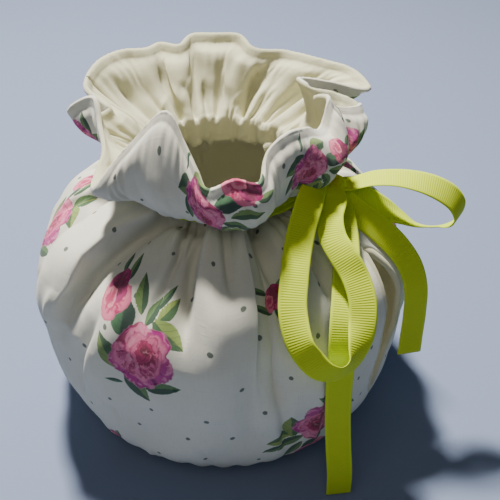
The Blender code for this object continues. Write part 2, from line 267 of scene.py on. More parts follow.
CREASES = each_row(Crease, (
    # path, depth, left, right, lean
    (((-91.0, 5.0), (-103.0, 13.0), (-111.0, 30.0), (-115.0, 46.0), (-117.0, 86.0)), -7.0, 11.0, 2.4, 2.5),
    (((-85.0, 5.0), (-95.5, 13.0), (-103.5, 32.0), (-109.5, 52.0), (-113.5, 90.0)), 6.5, 2.8, 5.0),
    (((-71.0, 5.0), (-71.5, 30.0), (-70.5, 66.0)), 6.5, 4.0, 1.4),
    (((-66.5, 5.0), (-67.0, 60.0)), -2.6, 2.2, 5.0),
    (((-48.4, 5.0), (-51.5, 60.0), (-49.5, 104.0)), -3.6, 7.0, 2.6),
    (((-43.5, 5.0), (-46.0, 60.0), (-44.5, 112.0)), 5.6, 2.8, 6.5),
    (((-39.2, 5.0), (-40.5, 44.0)), 4.2, 2.2, 1.4),
    (((-19.3, 7.0), (-24.6, 58.0)), 4.2, 3.0, 1.4),
    (((-46.2, 76.0), (-38.9, 142.0)), 3.6, 1.4, 4.5),
    (((-33.0, 82.0), (-29.0, 144.0)), -3.0, 4.0, 2.0),
    (((-119.3, 60.0), (-119.0, 100.0)), -2.2, 3.0, 3.0),
    (((-96.8, 58.0), (-108.9, 122.0)), 3.4, 6.0, 1.6),
    (((-82.0, 5.0), (-79.0, 26.0), (-83.0, 58.0)), 4.4, 1.3, 3.2),
    (((-60.0, 5.0), (-57.5, 44.0)), 4.0, 1.4, 2.5),
    (((-76.0, 5.0), (-75.5, 26.0)), 3.0, 1.2, 1.4),
    (((-53.5, 5.0), (-55.0, 24.0)), 3.0, 1.4, 1.2),
    (((-138.0, 5.0), (-131.0, 36.0), (-136.0, 66.0)), 4.6, 4.5, 1.5),
    (((-152.0, 5.0), (-146.0, 30.0), (-150.0, 60.0)), 3.4, 1.5, 4.0),
    (((-160.0, 5.0), (-156.0, 40.0)), 3.0, 4.0, 1.4),
    (((-172.0, 6.0), (-168.0, 40.0)), 2.4, 1.4, 3.0),
    (((12.0, 6.0), (14.0, 38.0)), 2.4, 1.4, 2.5),
    (((24.0, 5.0), (21.0, 44.0)), 3.0, 2.5, 1.4),
    (((38.0, 5.0), (41.0, 30.0)), 2.4, 1.4, 2.0),
    (((52.0, 5.0), (49.0, 56.0)), 4.6, 3.5, 1.4),
    (((66.0, 5.0), (69.0, 34.0)), 2.4, 1.3, 2.6),
    (((81.0, 5.0), (85.0, 66.0)), 5.0, 4.0, 1.5),
    (((96.0, 5.0), (94.0, 28.0)), 2.2, 1.3, 1.8),
    (((112.0, 5.0), (108.0, 48.0)), 3.0, 1.6, 3.0),
    (((128.0, 5.0), (125.0, 70.0)), 5.0, 1.5, 4.0),
    (((143.0, 5.0), (146.0, 34.0)), 2.4, 2.6, 1.3),
    (((158.0, 5.0), (157.0, 50.0)), 3.0, 2.5, 1.5),
    (((172.0, 6.0), (169.0, 40.0)), 2.4, 1.4, 2.6),
    (((168.0, -5.0), (172.0, -44.0)), -2.6, 2.4, 1.6),
    (((150.0, -5.0), (153.0, -46.0)), -4.8, 1.8, 2.4),
    (((139.0, -5.0), (143.0, -30.0)), -2.4, 1.4, 1.4),
    (((131.0, -5.0), (133.0, -26.0)), -2.8, 1.6, 1.4),
    (((123.0, -5.0), (121.0, -30.0)), -2.8, 1.4, 1.8),
    (((106.0, -5.0), (109.0, -44.0)), -5.2, 1.8, 2.6),
    (((97.0, -5.0), (96.0, -24.0)), -2.4, 1.4, 1.4),
    (((86.0, -5.0), (81.0, -46.0)), -5.2, 1.8, 2.6),
    (((72.0, -5.0), (76.0, -34.0)), -2.6, 2.0, 1.4),
    (((58.0, -5.0), (60.0, -28.0)), -2.2, 1.6, 1.6),
    (((-104.0, -6.0), (-108.0, -30.0)), 2.4, 2.4, 2.0),
    (((-118.0, -8.0), (-122.0, -40.0)), -2.2, 3.0, 2.0),
    (((-86.0, -14.0), (-90.0, -44.0)), 1.8, 3.5, 4.5),
    (((-58.0, -5.0), (-60.0, -24.0)), 2.0, 1.6, 1.6),
    (((-44.0, -5.0), (-42.0, -26.0)), 2.0, 1.6, 1.8),
    (((-24.0, -6.0), (-20.0, -34.0)), 2.4, 2.6, 2.0),
    (((-6.0, -6.0), (-8.0, -36.0)), 2.4, 2.0, 2.6),
))

LINING_PUFFS = each_row(Puff, (
    # azimuth, half_deg, down, half_down, height
    (124.5, 11.0, -33.0, 15.0, 6.0),
    (146.5, 6.5, -31.0, 15.0, 3.6),
    (163.0, 8.0, -30.0, 15.0, 3.0),
    (97.0, 7.5, -31.0, 15.0, 3.4),
    (76.0, 8.5, -31.0, 15.0, 3.6),
    (-172.0, 8.0, -30.0, 14.0, 2.0),
    (-120.0, 9.0, -30.0, 14.0, 2.0),
    (-12.0, 8.0, -30.0, 14.0, 2.0),
))

FRILL_LOBES = each_row(Lobe, (
    # azimuth, edge_radius, edge_height, belly_radius, belly_height
    (-163.0, 53.0, 156.0, 48.0, 149.0),
    (-158.0, 62.0, 153.5, 53.0, 146.0),
    (-157.0, 70.0, 157.0, 58.0, 146.5),
    (-153.0, 57.0, 166.5, 52.0, 149.0),
    (-143.0, 54.0, 158.5, 49.0, 149.0),
    (-128.0, 56.0, 151.0, 51.0, 147.0),
    (-120.0, 62.0, 147.5, 56.0, 146.0),
    (-111.0, 69.0, 149.0, 60.0, 146.0),
    (-104.0, 56.0, 166.0, 59.0, 148.0),
    (-91.0, 42.0, 180.0, 58.0, 149.5),
    (-80.0, 45.0, 171.0, 55.5, 146.5),
    (-72.0, 51.0, 163.5, 55.5, 143.5),
    (-66.0, 56.5, 157.0, 57.0, 142.0),
    (-54.0, 54.5, 160.0, 57.5, 142.0),
    (-45.0, 54.5, 157.0, 56.5, 142.0),
    (-36.0, 45.0, 164.5, 52.0, 146.5),
    (-25.0, 44.5, 170.5, 50.5, 149.0),
    (-8.0, 42.5, 166.5, 51.0, 150.5),
    (16.0, 45.0, 160.0, 57.0, 148.0),
    (27.0, 46.5, 169.5, 54.0, 149.0),
    (39.0, 43.0, 165.0, 47.0, 149.0),
    (37.0, 56.0, 159.0, 58.0, 147.0),
    (44.0, 66.0, 156.5, 62.0, 147.0),
    (49.0, 56.0, 161.0, 54.0, 148.5),
    (51.5, 41.0, 166.5, 44.0, 151.0),
    (61.0, 41.5, 166.5, 45.0, 151.0),
    (60.0, 61.0, 160.5, 54.0, 149.0),
    (54.0, 77.0, 157.5, 63.0, 148.0),
    (63.0, 77.0, 161.0, 61.0, 149.0),
    (76.0, 70.0, 163.0, 57.0, 149.0),
    (91.0, 66.0, 164.0, 55.0, 150.0),
    (106.0, 60.0, 166.0, 51.0, 151.0),
    (112.0, 65.5, 169.0, 55.0, 151.0),
    (123.0, 66.0, 169.5, 56.0, 151.0),
    (134.0, 67.0, 169.0, 55.0, 151.0),
    (139.5, 62.0, 167.0, 51.0, 151.0),
    (147.0, 69.0, 166.5, 56.0, 150.0),
    (154.0, 66.5, 166.5, 53.0, 150.0),
    (163.0, 71.0, 167.0, 57.0, 149.0),
    (180.0, 71.0, 166.0, 57.0, 149.0),
    (190.0, 68.0, 162.0, 56.0, 149.0),
))


@dataclass
class CosyForm:
    """The form that both layers of cloth lie on: frill, gathered neck, wall and hem."""

    neck_height: float = 134.0
    neck_radius: float = 38.2
    neck_band: float = 4.6
    layer_gap: float = 0.3
    cover_thickness: float = 1.6
    lining_thickness: float = 1.2
    strip_length: float = 612.0
    frill_depth: float = 48.0
    gather_count: int = 20
    gather_depth: float = 0.9
    gather_reach: float = 14.0
    hem_gather_count: int = 41
    hem_gather_depth: float = 0.9
    hem_gather_reach: float = 34.0
    row_gap: float = 1.25
    column_deg: float = 0.6
    neck_rows: int = 9
    rim_rows: tuple[float, ...] = (0.0, 1.0, 2.0, 2.9, 3.5, 4.2, 5.2, 6.4)
    seam_columns: tuple[float, ...] = (0.0, 0.22, 0.46, 0.74, 1.06, 1.44, 1.9, 2.4)
    seam_span: float = 3.0
    rim: float = 1.55
    frill_rim: float = 1.2
    folds: tuple[Fold, ...] = MAIN_FOLDS
    creases: tuple[Crease, ...] = CREASES
    lobes: tuple[Lobe, ...] = FRILL_LOBES
    puffs: tuple[Puff, ...] = LINING_PUFFS
    slits: dict[int, Slit] = field(
        default_factory=lambda: {0: Slit(28.0, 113.0, 11.0), 180: Slit(28.0, 115.0, 15.0)}
    )
    slit_spread: float = 26.0
    least_rim_speed: float = 16.0
    profile: tuple[tuple[float, float], ...] = (
        # height, radius
        (129.4, 38.2),
        (126.4, 48.0),
        (122.5, 58.0),
        (116.0, 69.0),
        (106.0, 80.5),
        (92.0, 88.5),
        (74.0, 90.5),
        (54.0, 89.0),
        (35.0, 85.5),
        (18.0, 79.5),
        (7.0, 72.0),
        (1.75, 66.5),
        (1.75, 59.0),
    )
    pucker_count: int = 58
    crease_count: int = 190
    wave_count: int = 30
    seed: int = 5

    def __post_init__(self) -> None:
        """Works out the neck's puckers, the handling creases and the soft waves, the same each run."""
        chance = np.random.default_rng(self.seed)
        count = self.pucker_count
        even = np.arange(count) * 360.0 / count
        self.puckers = np.stack(
            [
                even + chance.uniform(-2.4, 2.4, count),    # azimuth
                chance.uniform(0.7, 2.2, count),            # depth
                chance.uniform(1.1, 2.0, count),            # width, in degrees
                chance.uniform(6.0, 12.0, count) + chance.choice((0.0, 0.0, 12.0), count),  # reach up
                chance.uniform(5.0, 11.0, count) + chance.choice((0.0, 0.0, 14.0), count),  # reach down
            ],
            axis=1,
        )
        count = self.crease_count
        self.small_creases = np.stack(
            [
                chance.uniform(0.0, self.strip_length, count),      # around
                chance.uniform(-50.0, 168.0, count),                # down
                np.radians(chance.normal(0.0, 32.0, count)),        # lean
                chance.uniform(6.0, 19.0, count),                   # half length
                chance.uniform(1.0, 2.6, count),                    # width
                chance.uniform(-0.75, 0.75, count),                 # depth
            ],
            axis=1,
        )
        size = chance.uniform(16.0, 60.0, self.wave_count)
        heading = chance.uniform(0.0, math.tau, self.wave_count)
        self.wave_round = np.round(np.cos(heading) * self.strip_length / size)
        self.wave_down = np.sin(heading) * math.tau / size
        self.wave_start = chance.uniform(0.0, math.tau, self.wave_count)
        self.wave_depth = 0.0034 * size
        self.edge_turns = chance.integers(20, 140, 14)
        self.edge_starts = chance.uniform(0.0, math.tau, 14)

    @property
    def face(self) -> float:
        """How far the cover's printed face stands off the middle surface."""
        return self.layer_gap / 2 + self.cover_thickness

    @property
    def back(self) -> float:
        """How far the lining's face stands off the middle surface, on the other side."""
        return self.layer_gap / 2 + self.lining_thickness

    @property
    def rim_middle(self) -> float:
        """Where the middle of the two layers lies off the middle surface."""
        return (self.face - self.back) / 2

    def wall_profile(self) -> tuple[Array, Array, Array]:
        """The wall's heights, radii and distances down the cloth, in fine even steps."""
        rough = np.array(self.profile)
        knots = length_along(rough)
        fine = np.linspace(0.0, knots[-1], 1200)
        slope = np.gradient(rough, knots, axis=0)
        slope[0] = (-1.0, 0.0)
        slope[-1] = (0.0, -1.0)
        row = np.clip(np.searchsorted(knots, fine, side="right") - 1, 0, len(knots) - 2)
        gaps = np.diff(knots)
        curve = hermite(rough, slope, gaps, row, row + 1, (fine - knots[row]) / gaps[row])
        curve[:, 0] = np.maximum(curve[:, 0], rough[-1, 0])
        along = length_along(curve)
        stations = np.linspace(0.0, along[-1], round(along[-1] / self.row_gap))
        heights = np.interp(stations, along, curve[:, 0])
        radii = np.interp(stations, along, curve[:, 1])
        return heights, radii, stations + self.neck_band

    def fold_depths(self, azimuths: Array, heights: Array) -> Array:
        """How far the main folds draw the wall in, for each height and azimuth."""
        top = self.profile[0][0]
        inward = np.zeros((len(heights), len(azimuths)))
        for fold in self.folds:
            down = np.clip((top - heights) / (top - fold.reach), 0.0, 1.0)[:, None]
            centre = fold.neck_deg + (fold.belly_deg - fold.neck_deg) * np.minimum(1.0, 1.4 * down)
            strength = fold.depth * np.maximum(np.sin(math.pi * down**0.6), 0.0) ** 0.8
            off = degrees_off(azimuths[None, :], centre)
            inward += strength * bell(off / (fold.width_deg * (0.8 + 0.5 * down)))
        return inward

    def slit_gap(self, seam: float, heights: Array) -> Array:
        """Half the width of the opening at a seam, for each height."""
        slit = self.slits[round(seam) % 360]
        share = np.clip((heights - slit.low) / (slit.high - slit.low), 0.0, 1.0)
        return slit.half_width * np.maximum(np.sin(math.pi * share), 0.0) ** 0.7

    def parted(self, azimuths: Array, heights: Array, radii: Array, side: Side) -> Array:
        """The azimuths of the wall's rows, held apart where a side seam is open."""
        moved = np.repeat(azimuths[None, :], len(heights), axis=0)
        for seam, sign in ((side.value[0], 1.0), (side.value[1], -1.0)):
            off = (azimuths - seam) * sign
            ease = np.clip(1.0 - np.abs(off) / self.slit_spread, 0.0, 1.0) ** 1.5
            turn = np.degrees(self.slit_gap(seam, heights) / radii)[:, None]
            moved += sign * turn * np.where(off >= 0.0, ease, -ease)
        return moved

    def frill(self, azimuths: Array, neck_pleats: Array) -> tuple[Array, Array]:
        """The frill from its edge to the neck.

        Args:
            azimuths: The azimuth that each column is gathered to at the neck.
            neck_pleats: How far out each column stands there.

        Returns:
            The points, row by row from the edge, and each row's distance down from the neck.
        """
        lobes = np.array([(l.azimuth, l.edge_radius, l.edge_height, l.belly_radius, l.belly_height)
                          for l in self.lobes])
        edge = polar(lobes[:, 0], lobes[:, 1], lobes[:, 2])
        steps = np.linalg.norm(np.roll(edge, -1, axis=0) - edge, axis=1)
        length = steps.sum()
        along = np.cumsum(steps) - steps
        turned = np.degrees(np.unwrap(np.radians(lobes[:, 0])))
        offset = np.mean(turned - along * 360.0 / length)
        gathered = along * 360.0 / length + offset
        belly = polar((turned + gathered) / 2, lobes[:, 3], lobes[:, 4])
        wanted = (azimuths - offset) * length / 360.0
        edge_row = closed_curve(edge, along, length, wanted)
        belly_row = closed_curve(belly, along, length, wanted)
        root = polar(azimuths, self.neck_radius + neck_pleats, self.neck_height + self.neck_band)
        pull = 2 * belly_row - (root + edge_row) / 2
        # The first rows are at set distances from the edge, where the rim is rolled, and stay
        # on the frill where the sheet turns sharply
        speed = np.maximum(2 * np.linalg.norm(edge_row - pull, axis=1), self.least_rim_speed)
        rim = [1.0 - near / speed for near in self.rim_rows]
        count = round(self.frill_depth / self.row_gap)
        rest = [rim[-1] * (1.0 - step / count) for step in range(1, count + 1)]
        shares = np.array(rim + rest)[:, :, None]
        points = (1 - shares) ** 2 * root + 2 * shares * (1 - shares) * pull + shares**2 * edge_row
        return points, -shares[:, :, 0] * self.frill_depth - self.neck_band

    def edge_ripple(self, azimuths: Array) -> Array:
        """The small unevenness along a sewn edge, from about -1 to 1."""
        phase = np.radians(azimuths)[:, None] * self.edge_turns + self.edge_starts
        return np.sin(phase).sum(axis=1) / math.sqrt(len(self.edge_turns))

    def made_creases(self, azimuths: Array, down: Array, radii: Array) -> tuple[Array, Array]:
        """The crisp creases of the folds.

        Args:
            azimuths: The azimuth of each column.
            down: The distance down the cloth from the neck, for each row and column.
            radii: Each row's radius.

        Returns:
            How far in they lie, and how far their crests hang over to the right.
        """
        inward, sideways = np.zeros_like(down), np.zeros_like(down)
        per_degree = (np.radians(1.0) * radii)[:, None]
        for crease in self.creases:
            path = np.array(crease.path)
            path = path[np.argsort(path[:, 1])]
            low, high = path[0, 1], path[-1, 1]
            centre = np.interp(down, path[:, 1], path[:, 0])
            off = degrees_off(azimuths[None, :], centre) * per_degree
            width = np.where(off < 0.0, crease.left, crease.right)
            ease = 0.35 * (high - low)
            # A crease starts at once where it leaves the gathers
            rise = smooth(low - 2.0, low + (4.0 if 0.0 < low < 8.0 else ease), down)
            fall = 1.0 - smooth(high - (4.0 if -8.0 < high < 0.0 else ease), high + 4.0, down)
            shape = rise * fall * np.exp(-np.abs(off / width) ** 1.4)
            inward += crease.depth * shape
            sideways += crease.lean * shape
        return inward, sideways

    def gathers(self, azimuths: Array, down: Array) -> tuple[Array, Array]:
        """The neck's puckers.

        Args:
            azimuths: The azimuth of each column.
            down: The distance down the cloth from the neck, for each row and column.

        Returns:
            How far in they draw the cloth, and from 0 to 1 how far they pinch its layers together.
        """
        away = np.abs(down)
        start = smooth(1.5, 5.5, away)
        inward, pinch = np.zeros_like(down), np.zeros_like(down)
        for place, depth, width, up_reach, down_reach in self.puckers:
            fade = start * np.exp(-((away / np.where(down < 0.0, up_reach, down_reach)) ** 1.4))
            off = degrees_off(azimuths[None, :], place)
            spread = width * (1.0 + away / 26.0)
            # The frill's puckers fold out, so that they are valleys as seen from inside
            inward += np.where(down < 0.0, -0.7, 1.0) * depth * fade * bell(off / spread)
            pinch = np.maximum(pinch, fade * bell(off / (0.6 * spread)))
        return inward, pinch

    def handling(self, azimuths: Array, down: Array) -> Array:
        """How far out the short creases and soft waves of handled cloth stand."""
        out = np.zeros_like(down)
        around = azimuths[None, :] * self.strip_length / 360.0
        for middle, level, lean, half, width, depth in self.small_creases:
            off = (around - middle + self.strip_length / 2) % self.strip_length - self.strip_length / 2
            drop = down - level
            across = off * math.cos(lean) - drop * math.sin(lean)
            along = off * math.sin(lean) + drop * math.cos(lean)
            out += depth * np.exp(-((across / width) ** 2) - (along / half) ** 4)
        turn = np.radians(azimuths)[None, :, None] * self.wave_round
        phase = turn + down[:, :, None] * self.wave_down + self.wave_start
        out += np.sin(phase) @ self.wave_depth
        return out * smooth(3.0, 18.0, np.abs(down)) * (1.0 - smooth(146.0, 158.0, down))

    def plumpness(self, azimuths: Array, down: Array, from_edge: Array) -> tuple[Array, Array]:
        """How much further than flat cloth the padded cover and lining stand apart.

        Args:
            azimuths: The azimuth of each column.
            down: The distance down the cloth from the neck.
            from_edge: The distance from the frill's edge.

        Returns:
            Millimetres for the cover and for the lining, for each row and column.
        """
        crowded = smooth(26.0, 34.0, azimuths) * (1.0 - smooth(62.0, 70.0, azimuths))
        edge = smooth(3.2, 7.5, from_edge) * (1.0 - smooth(10.0, 24.0, from_edge))
        edge = edge * (0.75 + 0.35 * self.edge_ripple(azimuths))[None, :] * (1.0 - 0.45 * crowded)[None, :]
        root = smooth(4.6, 9.0, -down) * (1.0 - smooth(14.0, 28.0, -down))
        swelling = np.zeros_like(down)
        for puff in self.puffs:
            off = degrees_off(azimuths[None, :], puff.azimuth)
            span = (off / puff.half_deg) ** 4 + ((down - puff.down) / puff.half_down) ** 4
            swelling += puff.height * np.exp(-span) * smooth(3.2, 9.0, from_edge)
        return 1.3 * edge + 1.7 * root, 0.8 * edge + 0.9 * root + swelling

    def surface(self, side: Side) -> "Surface":
        """One panel's middle surface, in fine rows from the frill's edge to the hem's."""
        first, last = side.value
        near_seam = np.array(self.seam_columns)
        width = last - first
        columns = round((width - 2 * self.seam_span) / self.column_deg)
        inner = np.linspace(self.seam_span, width - self.seam_span, columns)
        azimuths = first + np.concatenate([near_seam, inner, width - near_seam[::-1]])
        # One more column past each seam lets the two panels share their normals there
        azimuths = np.concatenate([[first - near_seam[1]], azimuths, [last + near_seam[1]]])
        pleats = self.gather_depth * np.sin(np.radians(azimuths * self.gather_count))
        hem_pleats = self.hem_gather_depth * np.sin(np.radians(azimuths * self.hem_gather_count))
        frill, frill_down = self.frill(azimuths, pleats)
        heights, radii, down = self.wall_profile()
        tight = np.clip(1.0 - (self.profile[0][0] - heights) / self.gather_reach, 0.0, 1.0)
        low = np.clip(1.0 - heights / self.hem_gather_reach, 0.0, 1.0) ** 1.5
        ring = (
            radii[:, None] - self.fold_depths(azimuths, heights)
            + pleats * tight[:, None] + hem_pleats * low[:, None]
        )
        wall = polar(self.parted(azimuths, heights, radii, side), ring, heights[:, None])
        waist = np.linspace(1.0, -1.0, self.neck_rows)[1:-1] * self.neck_band
        neck = polar(azimuths[None, :], self.neck_radius + pleats[None, :], self.neck_height + waist[:, None])
        points = np.concatenate([frill, neck, wall])
        wide = np.ones(len(azimuths))
        far = np.concatenate([frill_down, -waist[:, None] * wide, down[:, None] * wide])
        radius = np.linalg.norm(points[:, :, :2], axis=2).mean(axis=1)
        drawn_in, pinch = self.gathers(azimuths, far)
        folded_in, sideways = self.made_creases(azimuths, far, radius)
        out = self.handling(azimuths, far) - drawn_in - folded_in
        from_edge = length_along(points)
        # Both layers stand off along the plain form's normals, so that no crease makes them cross
        normals = outward(points)
        along = unit(np.gradient(points, axis=1))
        points = points + normals * out[:, :, None] + along * sideways[:, :, None]
        cover_more, lining_more = self.plumpness(azimuths, far, from_edge)
        open_left = smooth(0.5, 2.2, self.slit_gap(first, points[:, 1, 2]))
        open_right = smooth(0.5, 2.2, self.slit_gap(last, points[:, -2, 2]))
        loose = 1.0 - 0.8 * pinch
        return Surface(
            points[:, 1:-1], normals[:, 1:-1], azimuths[1:-1], far[:, 1:-1], open_left, open_right,
            ((self.face + cover_more) * loose)[:, 1:-1], ((self.back + lining_more) * loose)[:, 1:-1],
        )


def outward(grid: Array) -> Array:
    """The unit normal at each point of a grid, pointing to the printed side."""
    return unit(np.cross(np.gradient(grid, axis=0), np.gradient(grid, axis=1)))


@dataclass
class Surface:
    """A panel's middle surface as a grid of rows and columns, with what the sheets need of it."""

    points: Array
    normals: Array
    azimuths: Array
    down: Array
    open_left: Array
    open_right: Array
    cover_off: Array
    lining_off: Array

    def from_sides(self) -> tuple[Array, Array]:
        """How far each point is from its row's left and right ends."""
        along = length_along(np.swapaxes(self.points, 0, 1)).T
        return along, along[:, -1:] - along

    def from_edge(self) -> Array:
        """How far each point is down its column from the frill's edge."""
        return length_along(self.points)


@dataclass
class ClothSheet:
    """A grid of cloth on its way to a mesh, with its own flat coordinates in millimetres."""

    points: Array
    flat: Array
    wraps: bool = False

    def make(self, name: str, material: bpy.types.Material, slot: Slot) -> bpy.types.Object:
        """Makes the mesh object, which rides on the cosy.

        Args:
            name: The piece's name.
            material: Its finish.
            slot: The record's material slot of its finish; it is not used.

        Returns:
            The object, shaded smooth, with the flat coordinates in metres in its UV map "cloth".
        """
        rows, columns = self.points.shape[:2]
        number = np.arange(rows * columns).reshape(rows, columns)
        if self.wraps:
            number = np.concatenate([number, number[:, :1]], axis=1)
        quads = np.stack([number[:-1, :-1], number[1:, :-1], number[1:, 1:], number[:-1, 1:]], axis=-1)
        quads = quads.reshape(-1, 4)
        mesh = bpy.data.meshes.new(name)
        mesh.vertices.add(rows * columns)
        mesh.vertices.foreach_set("co", (self.points.reshape(-1, 3) * MM + np.array(AXIS)).ravel())
        mesh.loops.add(quads.size)
        mesh.loops.foreach_set("vertex_index", quads.ravel())
        mesh.polygons.add(len(quads))
        mesh.polygons.foreach_set("loop_start", np.arange(len(quads)) * 4)
        mesh.update(calc_edges=True)
        flat = self.flat.reshape(-1, 2)[quads.ravel()] * MM
        mesh.uv_layers.new(name="cloth").data.foreach_set("uv", flat.ravel())
        mesh.materials.append(material)
        mesh.shade_smooth()
        piece = bpy.data.objects.new(name, mesh)
        bpy.context.scene.collection.objects.link(piece)
        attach(piece, BODY)
        return piece


class Wire:
    """A node's output, which sums and products can be written with."""

    def __init__(self, graph: "Graph", socket: Socket) -> None:
        """Holds a socket and the graph that it is in."""
        self.graph = graph
        self.socket = socket

    def __add__(self, other: object) -> "Wire":
        """Their sum."""
        return self.graph.math("ADD", self, other)

    def __sub__(self, other: object) -> "Wire":
        """Their difference."""
        return self.graph.math("SUBTRACT", self, other)

    def __rsub__(self, other: float) -> "Wire":
        """A number less this."""
        return self.graph.math("SUBTRACT", other, self)

    def __mul__(self, other: object) -> "Wire":
        """Their product."""
        return self.graph.math("MULTIPLY", self, other)

    def __truediv__(self, other: object) -> "Wire":
        """Their quotient."""
        return self.graph.math("DIVIDE", self, other)

    def __rtruediv__(self, other: float) -> "Wire":
        """A number over this."""
        return self.graph.math("DIVIDE", other, self)

    def __abs__(self) -> "Wire":
        """Its size without its sign."""
        return self.graph.math("ABSOLUTE", self)


class Graph:
    """Adds nodes to a node tree and joins them, in short calls."""

    def __init__(self, tree: bpy.types.NodeTree) -> None:
        """Starts on a tree."""
        self.tree = tree

    def add(self, kind: str, **settings: object) -> bpy.types.Node:
        """A new node with some of its settings."""
        node = self.tree.nodes.new(kind)
        for key, value in settings.items():
            setattr(node, key, value)
        return node

    def feed(self, socket: Socket, value: object) -> None:
        """Joins a socket to a wire, or sets its number, vector or colour."""
        if isinstance(value, Wire):
            self.tree.links.new(value.socket, socket)
        elif socket.type == "RGBA" and len(value) == 3:
            socket.default_value = (*value, 1.0)
        else:
            socket.default_value = value

    def feed_all(self, sockets: Mapping[str, Socket], **values: object) -> None:
        """Feeds sockets by name, with underscores for spaces."""
        for key, value in values.items():
            self.feed(sockets[key.replace("_", " ")], value)

    def feed_row(self, node: bpy.types.Node, values: Sequence[object]) -> None:
        """Feeds a node's first sockets in order."""
        for socket, value in zip(node.inputs, values):
            self.feed(socket, value)

    def math(self, operation: str, *values: object) -> Wire:
        """A Math node on up to three values."""
        node = self.add("ShaderNodeMath", operation=operation)
        self.feed_row(node, values)
        return Wire(self, node.outputs[0])

    def vector(self, operation: str, *values: object) -> Wire:
        """A Vector Math node on up to three vectors."""
        node = self.add("ShaderNodeVectorMath", operation=operation)
        self.feed_row(node, values)
        return Wire(self, node.outputs["Value" if operation == "LENGTH" else "Vector"])

    def step(self, value: Wire, low: float, high: float) -> Wire:
        """0 at low, 1 at high and smooth between them, also where low is above high."""
        node = self.add("ShaderNodeMapRange", interpolation_type="SMOOTHSTEP")
        start, end, first, last = (low, high, 0.0, 1.0) if low < high else (high, low, 1.0, 0.0)
        self.feed_all(node.inputs, Value=value, From_Min=start, From_Max=end, To_Min=first, To_Max=last)
        return Wire(self, node.outputs["Result"])

    def blend(self, share: Wire, under: object, over: object) -> Wire:
        """A colour between two."""
        node = self.add("ShaderNodeMix", data_type="RGBA")
        sockets = {socket.identifier: socket for socket in (*node.inputs, *node.outputs)}
        for name, value in (("Factor_Float", share), ("A_Color", under), ("B_Color", over)):
            self.feed(sockets[name], value)
        return Wire(self, sockets["Result_Color"])

    def noise(self, vector: Wire, scale: float, detail: float = 2.0, roughness: float = 0.5) -> Wire:
        """A noise value about 0.5."""
        node = self.add("ShaderNodeTexNoise")
        self.feed_all(node.inputs, Vector=vector, Scale=scale, Detail=detail, Roughness=roughness)
        return Wire(self, node.outputs["Fac"])

    def bump(self, height: Wire, strength: float, distance: float, under: Wire | None = None) -> Wire:
        """The normal of a bumpy surface, over another bump where one is given."""
        node = self.add("ShaderNodeBump")
        self.feed_all(node.inputs, Strength=strength, Distance=distance, Height=height)
        if under is not None:
            self.feed(node.inputs["Normal"], under)
        return Wire(self, node.outputs["Normal"])

    def uv(self, name: str) -> Wire:
        """The coordinates of one of the cloth's maps."""
        return Wire(self, self.add("ShaderNodeUVMap", uv_map=name).outputs["UV"])

    def split(self, vector: Wire) -> list[Wire]:
        """A vector's x, y and z."""
        node = self.add("ShaderNodeSeparateXYZ")
        self.feed(node.inputs[0], vector)
        return [Wire(self, socket) for socket in node.outputs]

    def join(self, x: object, y: object, z: object = 0.0) -> Wire:
        """A vector from its x, y and z."""
        node = self.add("ShaderNodeCombineXYZ")
        self.feed_row(node, (x, y, z))
        return Wire(self, node.outputs[0])

    def polar(self, vector: Wire) -> tuple[Wire, Wire]:
        """A vector's length in the plane, and its turn there."""
        x, y, _ = self.split(vector)
        return self.vector("LENGTH", self.join(x, y)), self.math("ARCTAN2", y, x)

    def group(self, tree: bpy.types.NodeTree, **inputs: object) -> dict[str, Wire]:
        """A group's node, fed by name with underscores for spaces, as its outputs by name."""
        node = self.add("ShaderNodeGroup", node_tree=tree)
        self.feed_all(node.inputs, **inputs)
        return {socket.name: Wire(self, socket) for socket in node.outputs}


def new_group(name: str, inputs: dict[str, str], outputs: dict[str, str]) -> tuple[Graph, dict, dict]:
    """An empty shader node group.

    Args:
        name: The group's name.
        inputs: Each input's name and kind, which is Float, Vector or Color.
        outputs: The same for the outputs.

    Returns:
        Its graph, the wires of its inputs, and the sockets that take its outputs.
    """
    tree = bpy.data.node_groups.new(name, "ShaderNodeTree")
    for way, sockets in (("INPUT", inputs), ("OUTPUT", outputs)):
        for label, kind in sockets.items():
            tree.interface.new_socket(label, in_out=way, socket_type=f"NodeSocket{kind}")
    graph = Graph(tree)
    given = graph.add("NodeGroupInput").outputs
    taken = graph.add("NodeGroupOutput").inputs
    return graph, {s.name: Wire(graph, s) for s in given if s.name}, {s.name: s for s in taken if s.name}


def motif_group(name: str) -> tuple[Graph, dict, dict]:
    """An empty group for a painted motif, with the same sockets for each."""
    return new_group(name, {"Place": "Vector", "Depth": "Float"}, {"Color": "Color", "Mask": "Float"})


def new_material(name: str, **values: object) -> tuple[bpy.types.Material, bpy.types.Node, Graph]:
    """A material with some of its shader's own values set.

    Args:
        name: The material's name.
        values: The shader's values by name, with underscores for spaces.

    Returns:
        The material, its shader, and its graph.
    """
    material = bpy.data.materials.new(name)
    material.use_nodes = True
    shader = material.node_tree.nodes["Principled BSDF"]
    graph = Graph(material.node_tree)
    graph.feed_all(shader.inputs, **values)
    return material, shader, graph


@dataclass(frozen=True)
class PetalRing:
    """A ring of painted petals, in a motif's own units."""

    middle_x: float
    middle_y: float
    radius: float
    petals: float
    phase: float
    lobing: float
    light: Colour
    dark: Colour


